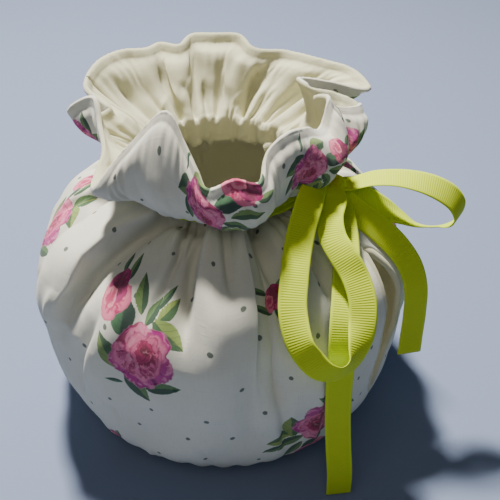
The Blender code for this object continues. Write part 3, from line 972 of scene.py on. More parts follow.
ROSE_RINGS = each_row(PetalRing, (
    # middle_x, middle_y, radius, petals, phase, lobing, light, dark
    (0.0, -0.06, 1.0, 5.0, 0.4, 0.20, (0.50, 0.03, 0.26), (0.15, 0.0, 0.09)),
    (-0.08, 0.06, 0.84, 4.0, 1.3, 0.20, (0.80, 0.22, 0.38), (0.44, 0.01, 0.17)),
    (0.05, -0.02, 0.66, 3.0, 0.2, 0.24, (0.76, 0.17, 0.33), (0.36, 0.0, 0.11)),
    (0.16, 0.10, 0.48, 3.0, 1.0, 0.28, (0.74, 0.14, 0.30), (0.26, 0.0, 0.06)),
    (0.10, 0.18, 0.30, 2.0, 2.0, 0.25, (0.46, 0.01, 0.12), (0.15, 0.0, 0.03)),
))
BUD_RINGS = each_row(PetalRing, (
    (-0.08, -0.1, 0.88, 3.0, 0.6, 0.18, (0.82, 0.20, 0.32), (0.50, 0.02, 0.13)),
    (0.22, 0.20, 0.66, 3.0, 1.6, 0.20, (0.40, 0.01, 0.15), (0.16, 0.0, 0.05)),
    (-0.30, 0.02, 0.44, 2.0, 0.9, 0.20, (0.82, 0.26, 0.33), (0.52, 0.03, 0.13)),
))
PETAL_RIM = (0.8, 0.4, 0.5)
ROSE_HEART = (0.08, 0.08, 0.0)
CRIMSON_STROKE = (0.28, 0.0, 0.07)
PALE_LIP = (0.86, 0.38, 0.48)
DEEP_ROSE = (0.40, 0.0, 0.10)
DEEP_BUD = (0.5, 0.03, 0.16)
LEAF_SHADE = (0.05, 0.14, 0.045)
LEAF_LIGHT = (0.26, 0.36, 0.07)
DEEP_LEAF_SHADE = (0.012, 0.05, 0.035)
DEEP_LEAF_LIGHT = (0.05, 0.16, 0.07)
LEAF_VEIN = (0.015, 0.05, 0.03)


class Effects:
    """The shader node groups that the finishes share."""

    def __init__(self) -> None:
        """Builds each group once."""
        self.weave = self.build_weave()
        self.crumple = self.build_crumple()
        self.petals = self.build_petals()
        self.rose = self.build_rose()
        self.bud = self.build_bud()
        self.leaf = self.build_leaf()
        self.dots = self.build_dots()
        self.ribs = self.build_ribs()

    def build_weave(self) -> bpy.types.NodeTree:
        """A plain weave: its height, a mask of the gaps between threads for painted shade there, and one of
        thick threads.
        """
        graph, given, taken = new_group(
            "plain_weave", {"Flat": "Vector", "Pitch": "Float"},
            {"Height": "Float", "Gaps": "Float", "Slubs": "Float"},
        )
        flat = given["Flat"]
        turns = math.tau / given["Pitch"]
        wander = graph.noise(flat, 900.0, 1.0) * 2.4
        warp, weft = (graph.math("SINE", place * turns + wander) for place in graph.split(flat)[:2])
        # Thicker threads run both ways through the cloth
        slubs = [
            graph.step(graph.noise(graph.vector("MULTIPLY", flat, stretch), 1.0), 0.5, 0.75)
            for stretch in ((1500.0, 130.0, 1.0), (130.0, 1500.0, 1.0))
        ]
        # The gaps between threads, where the finish paints shade
        gaps = graph.step(abs(warp) * abs(weft), 0.35, 0.0)
        graph.feed_all(taken, Height=warp * weft, Gaps=gaps, Slubs=graph.math("MAXIMUM", *slubs))
        return graph.tree

    def build_crumple(self) -> bpy.types.NodeTree:
        """Soft handling creases in a cloth: their height, and a slow drift of its shade."""
        graph, given, taken = new_group(
            "crumple", {"Flat": "Vector", "Size": "Float"}, {"Height": "Float", "Drift": "Float"}
        )
        size = given["Size"]
        scaled = graph.vector("DIVIDE", given["Flat"], graph.join(size, size, size))
        soft = graph.noise(scaled, 1.0, 3.0, 0.45)
        sharp = abs(graph.noise(scaled, 0.55) - 0.5)
        graph.feed_all(taken, Height=soft + sharp * 1.2, Drift=graph.noise(scaled, 0.3))
        return graph.tree

    def build_petals(self) -> bpy.types.NodeTree:
        """A ring of painted petals laid over the colour below it."""
        graph, given, taken = new_group(
            "petal_ring",
            {
                "Place": "Vector", "Centre": "Vector", "Radius": "Float", "Petals": "Float",
                "Phase": "Float", "Lobing": "Float", "Light": "Color", "Dark": "Color",
                "Under": "Color", "Under Mask": "Float",
            },
            {"Color": "Color", "Mask": "Float"},
        )
        radius, turn = graph.polar(graph.vector("SUBTRACT", given["Place"], given["Centre"]))
        half = (turn + given["Phase"]) * given["Petals"] * 0.5
        swell = abs(graph.math("COSINE", half))
        share = radius / (given["Radius"] * (1.0 - given["Lobing"] * (1.0 - swell)))
        mask = graph.step(share, 1.03, 0.97)
        # Strokes fan out from the heart, darkest there and in the clefts between petals
        strokes = graph.noise(graph.join(half * 1.6, radius * 2.2, given["Phase"]), 1.7, 3.0, 0.6)
        light = graph.step(share, 0.35, 0.92) * (graph.step(swell, 0.05, 0.5) * 0.6 + 0.4)
        painted = graph.step(light + (strokes - 0.5) * 2.6, 0.15, 0.75)
        colour = graph.blend(painted, given["Dark"], given["Light"])
        colour = graph.blend(graph.step(share, 0.9, 0.97) * 0.45, colour, given["Dark"])
        graph.feed_all(taken, Color=graph.blend(mask, given["Under"], colour),
                       Mask=graph.math("MAXIMUM", mask, given["Under Mask"]))
        return graph.tree

    def painted_place(self, graph: Graph, place: Wire, wobble: float) -> Wire:
        """A motif's coordinates with a brush's unevenness."""
        x, y, z = graph.split(place)
        drifts = [graph.noise(place, scale, 3.0) * wobble - wobble / 2 for scale in (2.1, 2.7)]
        return graph.join(x + drifts[0], y + drifts[1], z)

    def laid_petals(self, graph: Graph, place: Wire, rings: tuple[PetalRing, ...]) -> tuple[Wire, Wire]:
        """Rings of petals laid over each other, the lowest first, as their colour and their mask."""
        colour, mask = PETAL_RIM, 0.0
        for ring in rings:
            made = graph.group(
                self.petals, Place=place, Centre=(ring.middle_x, ring.middle_y, 0.0), Radius=ring.radius,
                Petals=ring.petals, Phase=ring.phase, Lobing=ring.lobing, Light=ring.light,
                Dark=ring.dark, Under=colour, Under_Mask=mask,
            )
            colour, mask = made["Color"], made["Mask"]
        return colour, mask

    def build_rose(self) -> bpy.types.NodeTree:
        """A full-blown painted rose, one unit in radius, seen from a little above."""
        graph, given, taken = motif_group("painted_rose")
        place = self.painted_place(graph, given["Place"], 0.46)
        colour, mask = self.laid_petals(graph, place, ROSE_RINGS)
        # Brush strokes wind round the heart, crimson in the folds and pale on the petals' lips
        away, turn = graph.polar(graph.vector("SUBTRACT", place, ROSE_HEART))
        phase = away * 10.0 + turn + graph.noise(place, 2.4, 3.0) * 7.0
        broken = graph.noise(place, 4.2)
        crimson = graph.step(graph.math("SINE", phase), 0.35, 0.75) * graph.step(broken, 0.42, 0.58)
        colour = graph.blend(crimson * 0.8, colour, CRIMSON_STROKE)
        lip = graph.step(graph.math("SINE", phase + 2.6), 0.5, 0.9) * graph.step(broken, 0.55, 0.42)
        colour = graph.blend(lip * 0.55, colour, PALE_LIP)
        graph.feed_all(taken, Color=graph.blend(given["Depth"] * 0.55, colour, DEEP_ROSE), Mask=mask)
        return graph.tree

    def build_bud(self) -> bpy.types.NodeTree:
        """A half-open bud: a crimson dome over a pink cup."""
        graph, given, taken = motif_group("painted_bud")
        place = self.painted_place(graph, given["Place"], 0.3)
        colour, mask = self.laid_petals(graph, place, BUD_RINGS)
        graph.feed_all(taken, Color=graph.blend(given["Depth"] * 0.5, colour, DEEP_BUD), Mask=mask)
        return graph.tree

    def build_leaf(self) -> bpy.types.NodeTree:
        """A painted leaf from x -1 to 1, as wide as y -1 to 1, darker on one half."""
        graph, given, taken = motif_group("painted_leaf")
        place = self.painted_place(graph, given["Place"], 0.22)
        x, y, _ = graph.split(place)
        rim = graph.math("MAXIMUM", (1.0 - x * x) * (x * -0.25 + 0.95), 0.001)
        mask = graph.step(abs(y) / rim, 1.06, 0.92) * graph.step(abs(x), 1.0, 0.96)
        strokes = graph.noise(graph.vector("MULTIPLY", place, (2.0, 3.4, 1.0)), 1.6, 3.0, 0.6)
        mixed = (strokes - 0.5) * 2.2 + graph.step(y, -0.08, 0.08)
        dark = graph.blend(given["Depth"], LEAF_SHADE, DEEP_LEAF_SHADE)
        light = graph.blend(given["Depth"], LEAF_LIGHT, DEEP_LEAF_LIGHT)
        colour = graph.blend(graph.step(mixed, 0.2, 0.8), dark, light)
        # Side veins slant off the midrib
        veins = graph.step(graph.math("SINE", abs(y) * -9.0 + x * 15.0), 0.82, 0.98) * 0.5
        lines = graph.math("MAXIMUM", graph.step(abs(y), 0.10, 0.03), veins)
        graph.feed_all(taken, Color=graph.blend(lines * 0.6, colour, LEAF_VEIN), Mask=mask)
        return graph.tree

    def build_dots(self) -> bpy.types.NodeTree:
        """Pin dots in staggered rows, each a little out of true."""
        graph, given, taken = new_group(
            "pin_dots", {"Flat": "Vector", "Across": "Float", "Down": "Float", "Radius": "Float"},
            {"Mask": "Float"},
        )
        x, y, _ = graph.split(given["Flat"])
        row_at = y / given["Down"]
        row = graph.math("FLOOR", row_at)
        column_at = x / given["Across"] + graph.math("PINGPONG", row, 1.0) * 0.5
        scatter = graph.add("ShaderNodeTexWhiteNoise", noise_dimensions="2D")
        graph.feed(scatter.inputs["Vector"], graph.join(graph.math("FLOOR", column_at), row))
        push_x, push_y, swell = graph.split(Wire(graph, scatter.outputs["Color"]))
        off_x = (graph.math("FRACT", column_at) - (push_x * 0.3 + 0.35)) * given["Across"]
        off_y = (graph.math("FRACT", row_at) - (push_y * 0.3 + 0.35)) * given["Down"]
        away = graph.vector("LENGTH", graph.join(off_x, off_y))
        uneven = graph.noise(given["Flat"], 700.0) * 0.5 + 0.75
        size = given["Radius"] * (swell * 0.24 + 0.84) * uneven
        graph.feed_all(taken, Mask=graph.step(away / size, 1.15, 0.85))
        return graph.tree

    def build_ribs(self) -> bpy.types.NodeTree:
        """A grosgrain's crosswise ribs between its plain edges: their height, a mask of the furrows between
        ribs for painted shade, and the edges.
        """
        graph, given, taken = new_group(
            "crosswise_ribs", {"Flat": "Vector", "Pitch": "Float", "Half Width": "Float"},
            {"Height": "Float", "Grooves": "Float", "Edge": "Float"},
        )
        x, y, _ = graph.split(given["Flat"])
        wave = graph.math("SINE", x * (math.tau / given["Pitch"]))
        edge = graph.step(abs(y) / given["Half Width"], 0.78, 0.84)
        ribbed = 1.0 - edge
        # The furrows between ribs, where the finish paints shade
        grooves = graph.step(wave, -0.1, -0.95) * ribbed
        graph.feed_all(taken, Height=wave * ribbed, Grooves=grooves, Edge=edge)
        return graph.tree


@dataclass(frozen=True)
class ClothFinish:
    """A plain woven cotton."""

    name: str
    colour: Colour
    shade: Colour
    pitch: float = 0.00042
    crumple_size: float = 0.022
    weave_depth: float = 0.35
    weave_height: float = 0.0001
    crumple_depth: float = 0.45
    crumple_height: float = 0.0016
    slub_height: float = 1.6
    drift_share: float = 0.5
    gap_shade_share: float = 0.22
    slub_share: float = 0.4
    roughness: float = 0.88
    sheen: float = 0.12
    sheen_roughness: float = 0.5
    specular: float = 0.25

    def build(self, effects: Effects) -> bpy.types.Material:
        """The cotton's material."""
        material, shader, graph = new_material(
            self.name, Roughness=self.roughness, Sheen_Weight=self.sheen,
            Sheen_Roughness=self.sheen_roughness, Specular_IOR_Level=self.specular,
        )
        flat = graph.uv("cloth")
        weave = graph.group(effects.weave, Flat=flat, Pitch=self.pitch)
        crumple = graph.group(effects.crumple, Flat=flat, Size=self.crumple_size)
        # Painted shade darkens the gaps between threads; the drift and the thicker threads are the cloth's
        # own uneven tone
        masks = (
            (graph.step(crumple["Drift"], 0.35, 0.7), self.drift_share),
            (weave["Gaps"], self.gap_shade_share),
            (weave["Slubs"], self.slub_share),
        )
        colour = self.colour
        for mask, share in masks:
            colour = graph.blend(mask * share, colour, self.shade)
        threads = weave["Slubs"] * self.slub_height + weave["Height"]
        fine = graph.bump(threads, self.weave_depth, self.weave_height)
        soft = graph.bump(crumple["Height"], self.crumple_depth, self.crumple_height, fine)
        graph.feed_all(shader.inputs, Base_Color=self.printed(graph, flat, colour, effects), Normal=soft)
        return material

    def printed(self, graph: Graph, flat: Wire, colour: Wire, effects: Effects) -> Wire:
        """The cloth's colour with its print over it, of which plain cotton has none."""
        return colour


@dataclass(frozen=True)
class PrintFinish(ClothFinish):
    """The cover's cotton, printed with roses, buds, leaves and pin dots."""

    dot_colour: Colour = (0.05, 0.08, 0.065)
    dot_across: float = 0.027
    dot_down: float = 0.0185
    dot_radius: float = 0.00118
    dot_ink: float = 0.85
    ink: float = 0.94

    def printed(self, graph: Graph, flat: Wire, colour: Wire, effects: Effects) -> Wire:
        """The cloth's colour with pin dots, and over them leaves, buds and roses."""
        dots = graph.group(effects.dots, Flat=flat, Across=self.dot_across, Down=self.dot_down,
                           Radius=self.dot_radius)
        colour = graph.blend(dots["Mask"] * self.dot_ink, colour, self.dot_colour)
        # Each motif has a map of its own, in units of the nearest one of its kind
        groups = {Motif.LEAF: effects.leaf, Motif.BUD: effects.bud, Motif.ROSE: effects.rose}
        for motif, group in groups.items():
            depth = graph.add("ShaderNodeAttribute", attribute_name=f"{motif.value}_depth").outputs["Fac"]
            painted = graph.group(group, Place=graph.uv(motif.value), Depth=Wire(graph, depth))
            colour = graph.blend(painted["Mask"] * self.ink, colour, painted["Color"])
        return colour


@dataclass(frozen=True)
class RibbonFinish:
    """A grosgrain ribbon with crosswise ribs and plain edges."""

    name: str = "yellow_green_grosgrain"
    colour: Colour = (0.59, 0.72, 0.03)
    groove_shade_and_drift: Colour = (0.35, 0.43, 0.01)
    edge: Colour = (0.61, 0.75, 0.035)
    pitch: float = 0.00105
    half_width: float = 0.006
    groove_shade_share: float = 0.16
    drift_share: float = 0.18
    thread_height: float = 0.35
    rib_depth: float = 0.3
    rib_height: float = 0.0002
    roughness: float = 0.7
    specular: float = 0.15

    def build(self, effects: Effects) -> bpy.types.Material:
        """The ribbon's material."""
        material, shader, graph = new_material(
            self.name, Roughness=self.roughness, Specular_IOR_Level=self.specular
        )
        flat = graph.uv("cloth")
        ribs = graph.group(effects.ribs, Flat=flat, Pitch=self.pitch, Half_Width=self.half_width)
        # Painted shade: the furrows between the ribs are darkened toward the groove colour
        colour = graph.blend(ribs["Grooves"] * self.groove_shade_share, self.colour, self.groove_shade_and_drift)
        colour = graph.blend(ribs["Edge"], colour, self.edge)
        # The slow drift toward the same colour is the ribbon's own uneven tone
        colour = graph.blend(graph.noise(flat, 90.0) * self.drift_share, colour, self.groove_shade_and_drift)
        threads = graph.noise(graph.vector("MULTIPLY", flat, (2600.0, 9000.0, 1.0)), 1.0, 1.0)
        ribbed = graph.bump(threads * self.thread_height + ribs["Height"], self.rib_depth, self.rib_height)
        graph.feed_all(shader.inputs, Base_Color=colour, Normal=ribbed)
        return material


@dataclass(frozen=True)
class PrintPart:
    """One motif of a spray, placed from the spray's middle."""

    motif: Motif
    across: float
    down: float
    length: float
    width: float
    turn: float
    depth: float


ROSE_SPRAY = each_row(PrintPart, (
    # motif, across, down, half length, half width, turn, depth
    (Motif.ROSE, 0.0, 0.0, 16.5, 15.5, -20.0, 0.15),
    (Motif.BUD, -11.0, -28.0, 11.5, 10.0, 35.0, 0.2),
    (Motif.LEAF, -5.5, -19.0, 8.0, 5.6, 70.0, 1.0),
    (Motif.LEAF, 3.5, -26.0, 9.5, 3.8, 84.0, 0.5),
    (Motif.LEAF, 9.5, -17.5, 8.0, 3.0, 48.0, 0.7),
    (Motif.LEAF, 16.5, -21.5, 8.0, 2.3, 30.0, 0.8),
    (Motif.LEAF, 17.5, -15.5, 7.0, 4.0, 25.0, 0.0),
    (Motif.LEAF, 14.5, -5.5, 10.5, 5.0, -58.0, 0.1),
    (Motif.LEAF, -15.5, -5.0, 9.5, 5.0, 106.0, 0.4),
    (Motif.LEAF, -8.0, 14.0, 9.5, 4.8, -72.0, 0.7),
    (Motif.LEAF, 4.5, 16.5, 9.5, 3.4, -12.0, 0.8),
    (Motif.LEAF, -19.0, 9.5, 5.0, 1.2, 160.0, 1.0),
    (Motif.LEAF, -11.5, -40.0, 4.5, 2.3, 100.0, 0.9),
    (Motif.LEAF, -3.0, -38.5, 6.5, 2.4, 68.0, 0.6),
))
BUD_SPRIG = each_row(PrintPart, (
    (Motif.BUD, 0.0, 0.0, 7.5, 6.5, 10.0, 0.6),
    (Motif.LEAF, -8.0, -3.0, 5.5, 1.6, 8.0, 0.8),
    (Motif.LEAF, -7.0, 5.0, 5.5, 1.8, -14.0, 0.8),
    (Motif.LEAF, 3.0, 9.0, 7.5, 2.8, -70.0, 0.5),
    (Motif.LEAF, 7.0, -4.0, 5.0, 2.2, 40.0, 0.6),
))


@dataclass(frozen=True)
class Spray:
    """A spray on the flat cloth: its middle, in millimetres round it and down from the neck."""

    parts: tuple[PrintPart, ...]
    around: float
    down: float
    turn: float = 0.0
    scale: float = 1.0


@dataclass
class FloralPrint:
    """Where the sprays fall on the cut cloth."""

    sprays: tuple[Spray, ...] = (
        Spray(ROSE_SPRAY, -140.0, 72.0, 23.0),
        Spray(ROSE_SPRAY, -249.0, 56.0, 30.0, 0.95),
        Spray(ROSE_SPRAY, -50.0, 118.0, 160.0),
        Spray(BUD_SPRIG, -72.0, 46.0, 0.0),
        Spray(BUD_SPRIG, -203.0, -2.0, 150.0, 0.8),
        Spray(ROSE_SPRAY, -104.0, -38.0, -80.0, 0.85),
        Spray(ROSE_SPRAY, -36.0, -34.0, -95.0, 0.75),
        Spray(ROSE_SPRAY, -262.0, -34.0, 100.0, 0.8),
        Spray(BUD_SPRIG, -168.0, 146.0, 30.0, 1.1),
        Spray(BUD_SPRIG, -284.0, 140.0, -30.0, 1.1),
        Spray(ROSE_SPRAY, 48.0, 62.0, 12.0),
        Spray(ROSE_SPRAY, 142.0, 112.0, 170.0),
        Spray(ROSE_SPRAY, 236.0, 60.0, -8.0),
        Spray(BUD_SPRIG, 96.0, 38.0, 20.0, 1.1),
        Spray(BUD_SPRIG, 190.0, 34.0, -140.0, 1.1),
        Spray(BUD_SPRIG, 60.0, 138.0, 60.0, 1.1),
        Spray(ROSE_SPRAY, 250.0, 132.0, 150.0, 0.9),
        Spray(ROSE_SPRAY, 20.0, -30.0, 85.0, 0.8),
        Spray(ROSE_SPRAY, 118.0, -28.0, -80.0, 0.85),
        Spray(ROSE_SPRAY, 215.0, -30.0, 95.0, 0.85),
    )

    def spots(self, motif: Motif) -> Array:
        """Every motif of a kind, a row each.

        Returns:
            Rows of around, down, half length, half width, turn in radians, and depth.
        """
        rows = []
        for spray in self.sprays:
            turn = math.radians(spray.turn)
            for part in spray.parts:
                if part.motif is not motif:
                    continue
                across, down = part.across * spray.scale, part.down * spray.scale
                around = spray.around + across * math.cos(turn) + down * math.sin(turn)
                lower = spray.down - across * math.sin(turn) + down * math.cos(turn)
                rows.append((around, lower, part.length * spray.scale, part.width * spray.scale,
                             turn + math.radians(part.turn), part.depth))
        return np.array(rows)

    def lay(self, piece: bpy.types.Object) -> None:
        """Gives a piece one map for each kind of motif, in units of the nearest one of it."""
        mesh = piece.data
        corners = np.empty(len(mesh.loops) * 2)
        mesh.uv_layers["cloth"].data.foreach_get("uv", corners)
        corners = corners.reshape(-1, 4, 2) / MM
        middles = corners.mean(axis=1)
        for motif in Motif:
            spots = self.spots(motif)
            nearest, best = np.zeros(len(middles), int), np.full(len(middles), np.inf)
            for number, spot in enumerate(spots):
                away = (self.local(middles, spot) ** 2).sum(axis=-1)
                closer = away < best
                nearest[closer], best[closer] = number, away[closer]
            chosen = spots[nearest]
            local = self.local(corners, chosen[:, None, :])
            mesh.uv_layers.new(name=motif.value).data.foreach_set("uv", local.ravel())
            depth = mesh.attributes.new(f"{motif.value}_depth", "FLOAT", "FACE")
            depth.data.foreach_set("value", chosen[:, 5])
        mesh.uv_layers.active = mesh.uv_layers["cloth"]

    @staticmethod
    def local(places: Array, spot: Array) -> Array:
        """Places on the flat cloth in the units of a motif, with y up the cloth."""
        x, y = places[..., 0] - spot[..., 0], spot[..., 1] - places[..., 1]
        cos, sin = np.cos(spot[..., 4]), np.sin(spot[..., 4])
        return np.stack([(x * cos + y * sin) / spot[..., 2], (y * cos - x * sin) / spot[..., 3]], axis=-1)


@dataclass
class CosyPanel:
    """One panel of the cosy: its printed cover and its lining, seamed along the frill's edge."""

    form: CosyForm
    side: Side
    cut_depth: float = 215.0
    welt: float = 3.6
    welt_width: float = 1.1
    welt_depth: float = 0.16
    welt_ripple: float = 0.12
    stitches: float = 3.8
    stitch_depth: float = 0.10
    cover_round_off: float = 2.2
    lining_round_off: float = 1.6
    cover_slit_start: float = 1.6
    slit_ease: float = 7.0
    hem_turn: float = 9.0
    hem_turn_gap: float = 0.45
    hem_turn_wave: float = 0.3
    roll_steps: int = 7

    def __post_init__(self) -> None:
        """Works out the panel's middle surface."""
        self.surface = self.form.surface(self.side)
        self.name = self.side.name.lower()

    def flat(self, rows: int, columns: int) -> Array:
        """The flat coordinates of the panel's own grid."""
        surface = self.surface
        around = surface.azimuths / 360.0 * self.form.strip_length
        return np.stack([np.broadcast_to(around, (rows, columns)), surface.down], axis=-1)

    def seam_shares(self, round_off: float) -> tuple[Array, Array]:
        """How fully the cloth stands off at each point beside the sewn and the open side seams."""
        left, right = self.surface.from_sides()
        sewn = np.ones_like(left)
        opened = np.ones_like(left)
        for away, is_open in ((left, self.surface.open_left), (right, self.surface.open_right)):
            is_open = is_open[:, None]
            near = np.clip(away / round_off, 0.0, 1.0)
            rounded = np.sqrt(np.clip(1.0 - (1.0 - near) ** 2, 0.0, 1.0))
            sewn = np.minimum(sewn, is_open + (1.0 - is_open) * (0.1 + 0.9 * rounded))
            tuck = smooth(0.0, 1.4, away)
            opened = np.minimum(opened, 1.0 - is_open * 0.45 * (1.0 - tuck))
        return sewn, opened

    def pulled_back(self, amount: float) -> Array:
        """The middle surface with its side edges drawn back from the open seams."""
        points = self.surface.points.copy()
        left, right = self.surface.from_sides()
        for away, is_open, edge, inner in (
            (left, self.surface.open_left, 0, 3),
            (right, self.surface.open_right, -1, -4),
        ):
            inward = unit(points[:, inner] - points[:, edge])[:, None, :]
            shift = amount * is_open[:, None] * np.clip(1.0 - away / self.slit_ease, 0.0, 1.0)
            points = points + inward * shift[:, :, None]
        return points

    def cover_sheet(self) -> ClothSheet:
        """The printed cover, from the seam along the frill's edge to the turned hem."""
        form, surface = self.form, self.surface
        sewn, opened = self.seam_shares(self.cover_round_off)
        down_edge = surface.from_edge()
        sewn = 1.0 - (1.0 - sewn) * smooth(0.5, 5.0, down_edge)
        start = (form.rim_middle + form.frill_rim) / form.face
        rise = start + (1.0 - start) * smooth(1.0, 6.0, down_edge)
        # The seam allowance inside draws a faint uneven line below the edge
        beside = bell((down_edge - self.welt) / self.welt_width)
        ripple = self.welt_ripple * form.edge_ripple(surface.azimuths * 3.0)
        rise = rise * (1.0 - beside * (self.welt_depth + ripple))
        points = self.pulled_back(self.cover_slit_start)
        points = points + surface.normals * (surface.cover_off * sewn * opened * rise)[:, :, None]
        flat = self.flat(*surface.points.shape[:2])
        top, top_flat = self.frill_rim(flat[0], np.linspace(0.53, 0.08, 6) * math.pi, 0.07, 0.0)
        rim, rim_flat = self.hem_rim(flat[-1])
        return ClothSheet(np.concatenate([top, points, rim]), np.concatenate([top_flat, flat, rim_flat]))

    def hem_rim(self, last_flat: Array) -> tuple[Array, Array]:
        """The cover's rows round the hem's edge, and back over the lining inside."""
        form, surface = self.form, self.surface
        edge, normal = surface.points[-1], surface.normals[-1]
        beyond = unit(surface.points[-1] - surface.points[-2])
        rows, flats = [], []
        for step in range(1, self.roll_steps + 1):
            angle = math.pi * step / self.roll_steps
            lift = form.rim_middle + form.rim * math.cos(angle)
            rows.append(edge + beyond * form.rim * math.sin(angle) + normal * lift)
            flats.append(last_flat + (0.0, form.rim * angle))
        around = np.radians(surface.azimuths * form.hem_gather_count)
        for back in np.linspace(0.8, self.hem_turn, 7):
            wave = self.hem_turn_wave * np.sin(around) * min(1.0, back / 3.0)
            lift = -form.back - self.hem_turn_gap - wave
            rows.append(edge - beyond * back + normal * lift[:, None])
            flats.append(last_flat + (0.0, form.rim * math.pi + back))
        return np.array(rows), np.array(flats)

    def lining_sheet(self) -> ClothSheet:
        """The lining, from the seam along the frill's edge, and rolled over the side openings' edges."""
        form, surface = self.form, self.surface
        sewn, _ = self.seam_shares(self.lining_round_off)
        ripple = self.welt_ripple * form.edge_ripple(surface.azimuths * 3.0)
        stitched = 1.0 - bell(surface.from_edge() - self.stitches) * (self.stitch_depth + ripple)
        stitched = stitched * (0.85 + 0.15 * smooth(0.0, 3.0, surface.from_edge()))
        points = surface.points - surface.normals * (surface.lining_off * sewn * stitched)[:, :, None]
        flat = self.flat(*points.shape[:2])
        top, top_flat = self.frill_rim(flat[0], np.linspace(0.36, 0.92, 7) * math.pi, 0.0, math.pi)
        points, flat = np.concatenate([top, points]), np.concatenate([top_flat, flat])
        hidden = len(top)
        for edge, inner, is_open in ((0, 2, surface.open_left), (-1, -3, surface.open_right)):
            roll, roll_flat = self.slit_rim(edge, inner, is_open, flat[hidden:, edge])
            # On the frill's edge the roll has no width
            count = roll.shape[1]
            roll = np.concatenate([np.repeat(points[:hidden, edge, None], count, axis=1), roll])
            roll_flat = np.concatenate([np.repeat(flat[:hidden, edge, None], count, axis=1), roll_flat])
            if edge == 0:
                points = np.concatenate([roll[:, ::-1], points], axis=1)
                flat = np.concatenate([roll_flat[:, ::-1], flat], axis=1)
            else:
                points = np.concatenate([points, roll], axis=1)
                flat = np.concatenate([flat, roll_flat], axis=1)
        return ClothSheet(points, flat)

    def frill_rim(self, first_flat: Array, angles: Array, proud: float, end: float) -> tuple[Array, Array]:
        """A sheet's rows round the frill's edge.

        Args:
            first_flat: The flat coordinates of the sheet's first row below the edge.
            angles: Each row's angle round the edge, from 0 on the cover's side to pi on the lining's.
            proud: How much further out than the lining the sheet lies.
            end: The angle at which the sheet leaves the edge.

        Returns:
            The rows and their flat coordinates.
        """
        form, surface = self.form, self.surface
        edge, normal = surface.points[0], surface.normals[0]
        beyond = unit(surface.points[0] - surface.points[1])
        radius = (form.frill_rim + proud) * (1.0 + 0.08 * form.edge_ripple(surface.azimuths * 2.0))[:, None]
        rows, flats = [], []
        for angle in angles:
            lift = form.rim_middle + radius * math.cos(angle)
            rows.append(edge + beyond * radius * math.sin(angle) + normal * lift)
            flats.append(first_flat - (0.0, form.frill_rim * abs(end - angle)))
        return np.array(rows), np.array(flats)

    def slit_rim(self, edge: int, inner: int, is_open: Array, edge_flat: Array) -> tuple[Array, Array]:
        """The lining's columns past a side edge: a roll where it is open, tucked in where it is sewn."""
        form, surface = self.form, self.surface
        start, normal = surface.points[:, edge], surface.normals[:, edge]
        beyond = unit(surface.points[:, edge] - surface.points[:, inner])
        share = (0.06 + 0.94 * is_open)[:, None]
        is_open = is_open[:, None]
        columns, flats = [], []
        outwards = -1.0 if edge == 0 else 1.0
        for step in range(1, self.roll_steps + 1):
            angle = math.pi * (1.0 - step / self.roll_steps)
            lift = (form.rim_middle + form.rim * math.cos(angle)) * share
            columns.append(start + beyond * form.rim * math.sin(angle) * is_open + normal * lift)
            flats.append(edge_flat + (outwards * form.rim * (math.pi - angle), 0.0))
        for back, lift in ((0.7, form.face), (1.5, 1.5), (2.1, 0.8)):
            columns.append(start - beyond * back * is_open + normal * lift * share)
            flats.append(edge_flat + (outwards * (form.rim * math.pi + back), 0.0))
        return np.stack(columns, axis=1), np.stack(flats, axis=1)

    def build(self, print_cloth: bpy.types.Material, cream: bpy.types.Material,
              floral: FloralPrint) -> list[bpy.types.Object]:
        """Makes the panel's two pieces.

        Args:
            print_cloth: The cover's finish.
            cream: The lining's finish.
            floral: The print's layout.

        Returns:
            The cover's piece and the lining's.
        """
        cover = self.cover_sheet().make(f"{self.name}_cover", print_cloth, Slot.PRINT)
        floral.lay(cover)
        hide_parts(f"cover_{self.name}")
        lining = self.lining_sheet().make(f"{self.name}_lining", cream, Slot.CREAM)
        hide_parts(f"lining_{self.name}")
        return [cover, lining]


@dataclass(frozen=True)
class Knot:
    """Where the bow's knot sits, and how big it is."""

    azimuth: float = 10.0
    radius: float = 50.4
    height: float = 134.5
    half_out: float = 8.6
    half_across: float = 7.0
    half_high: float = 4.6


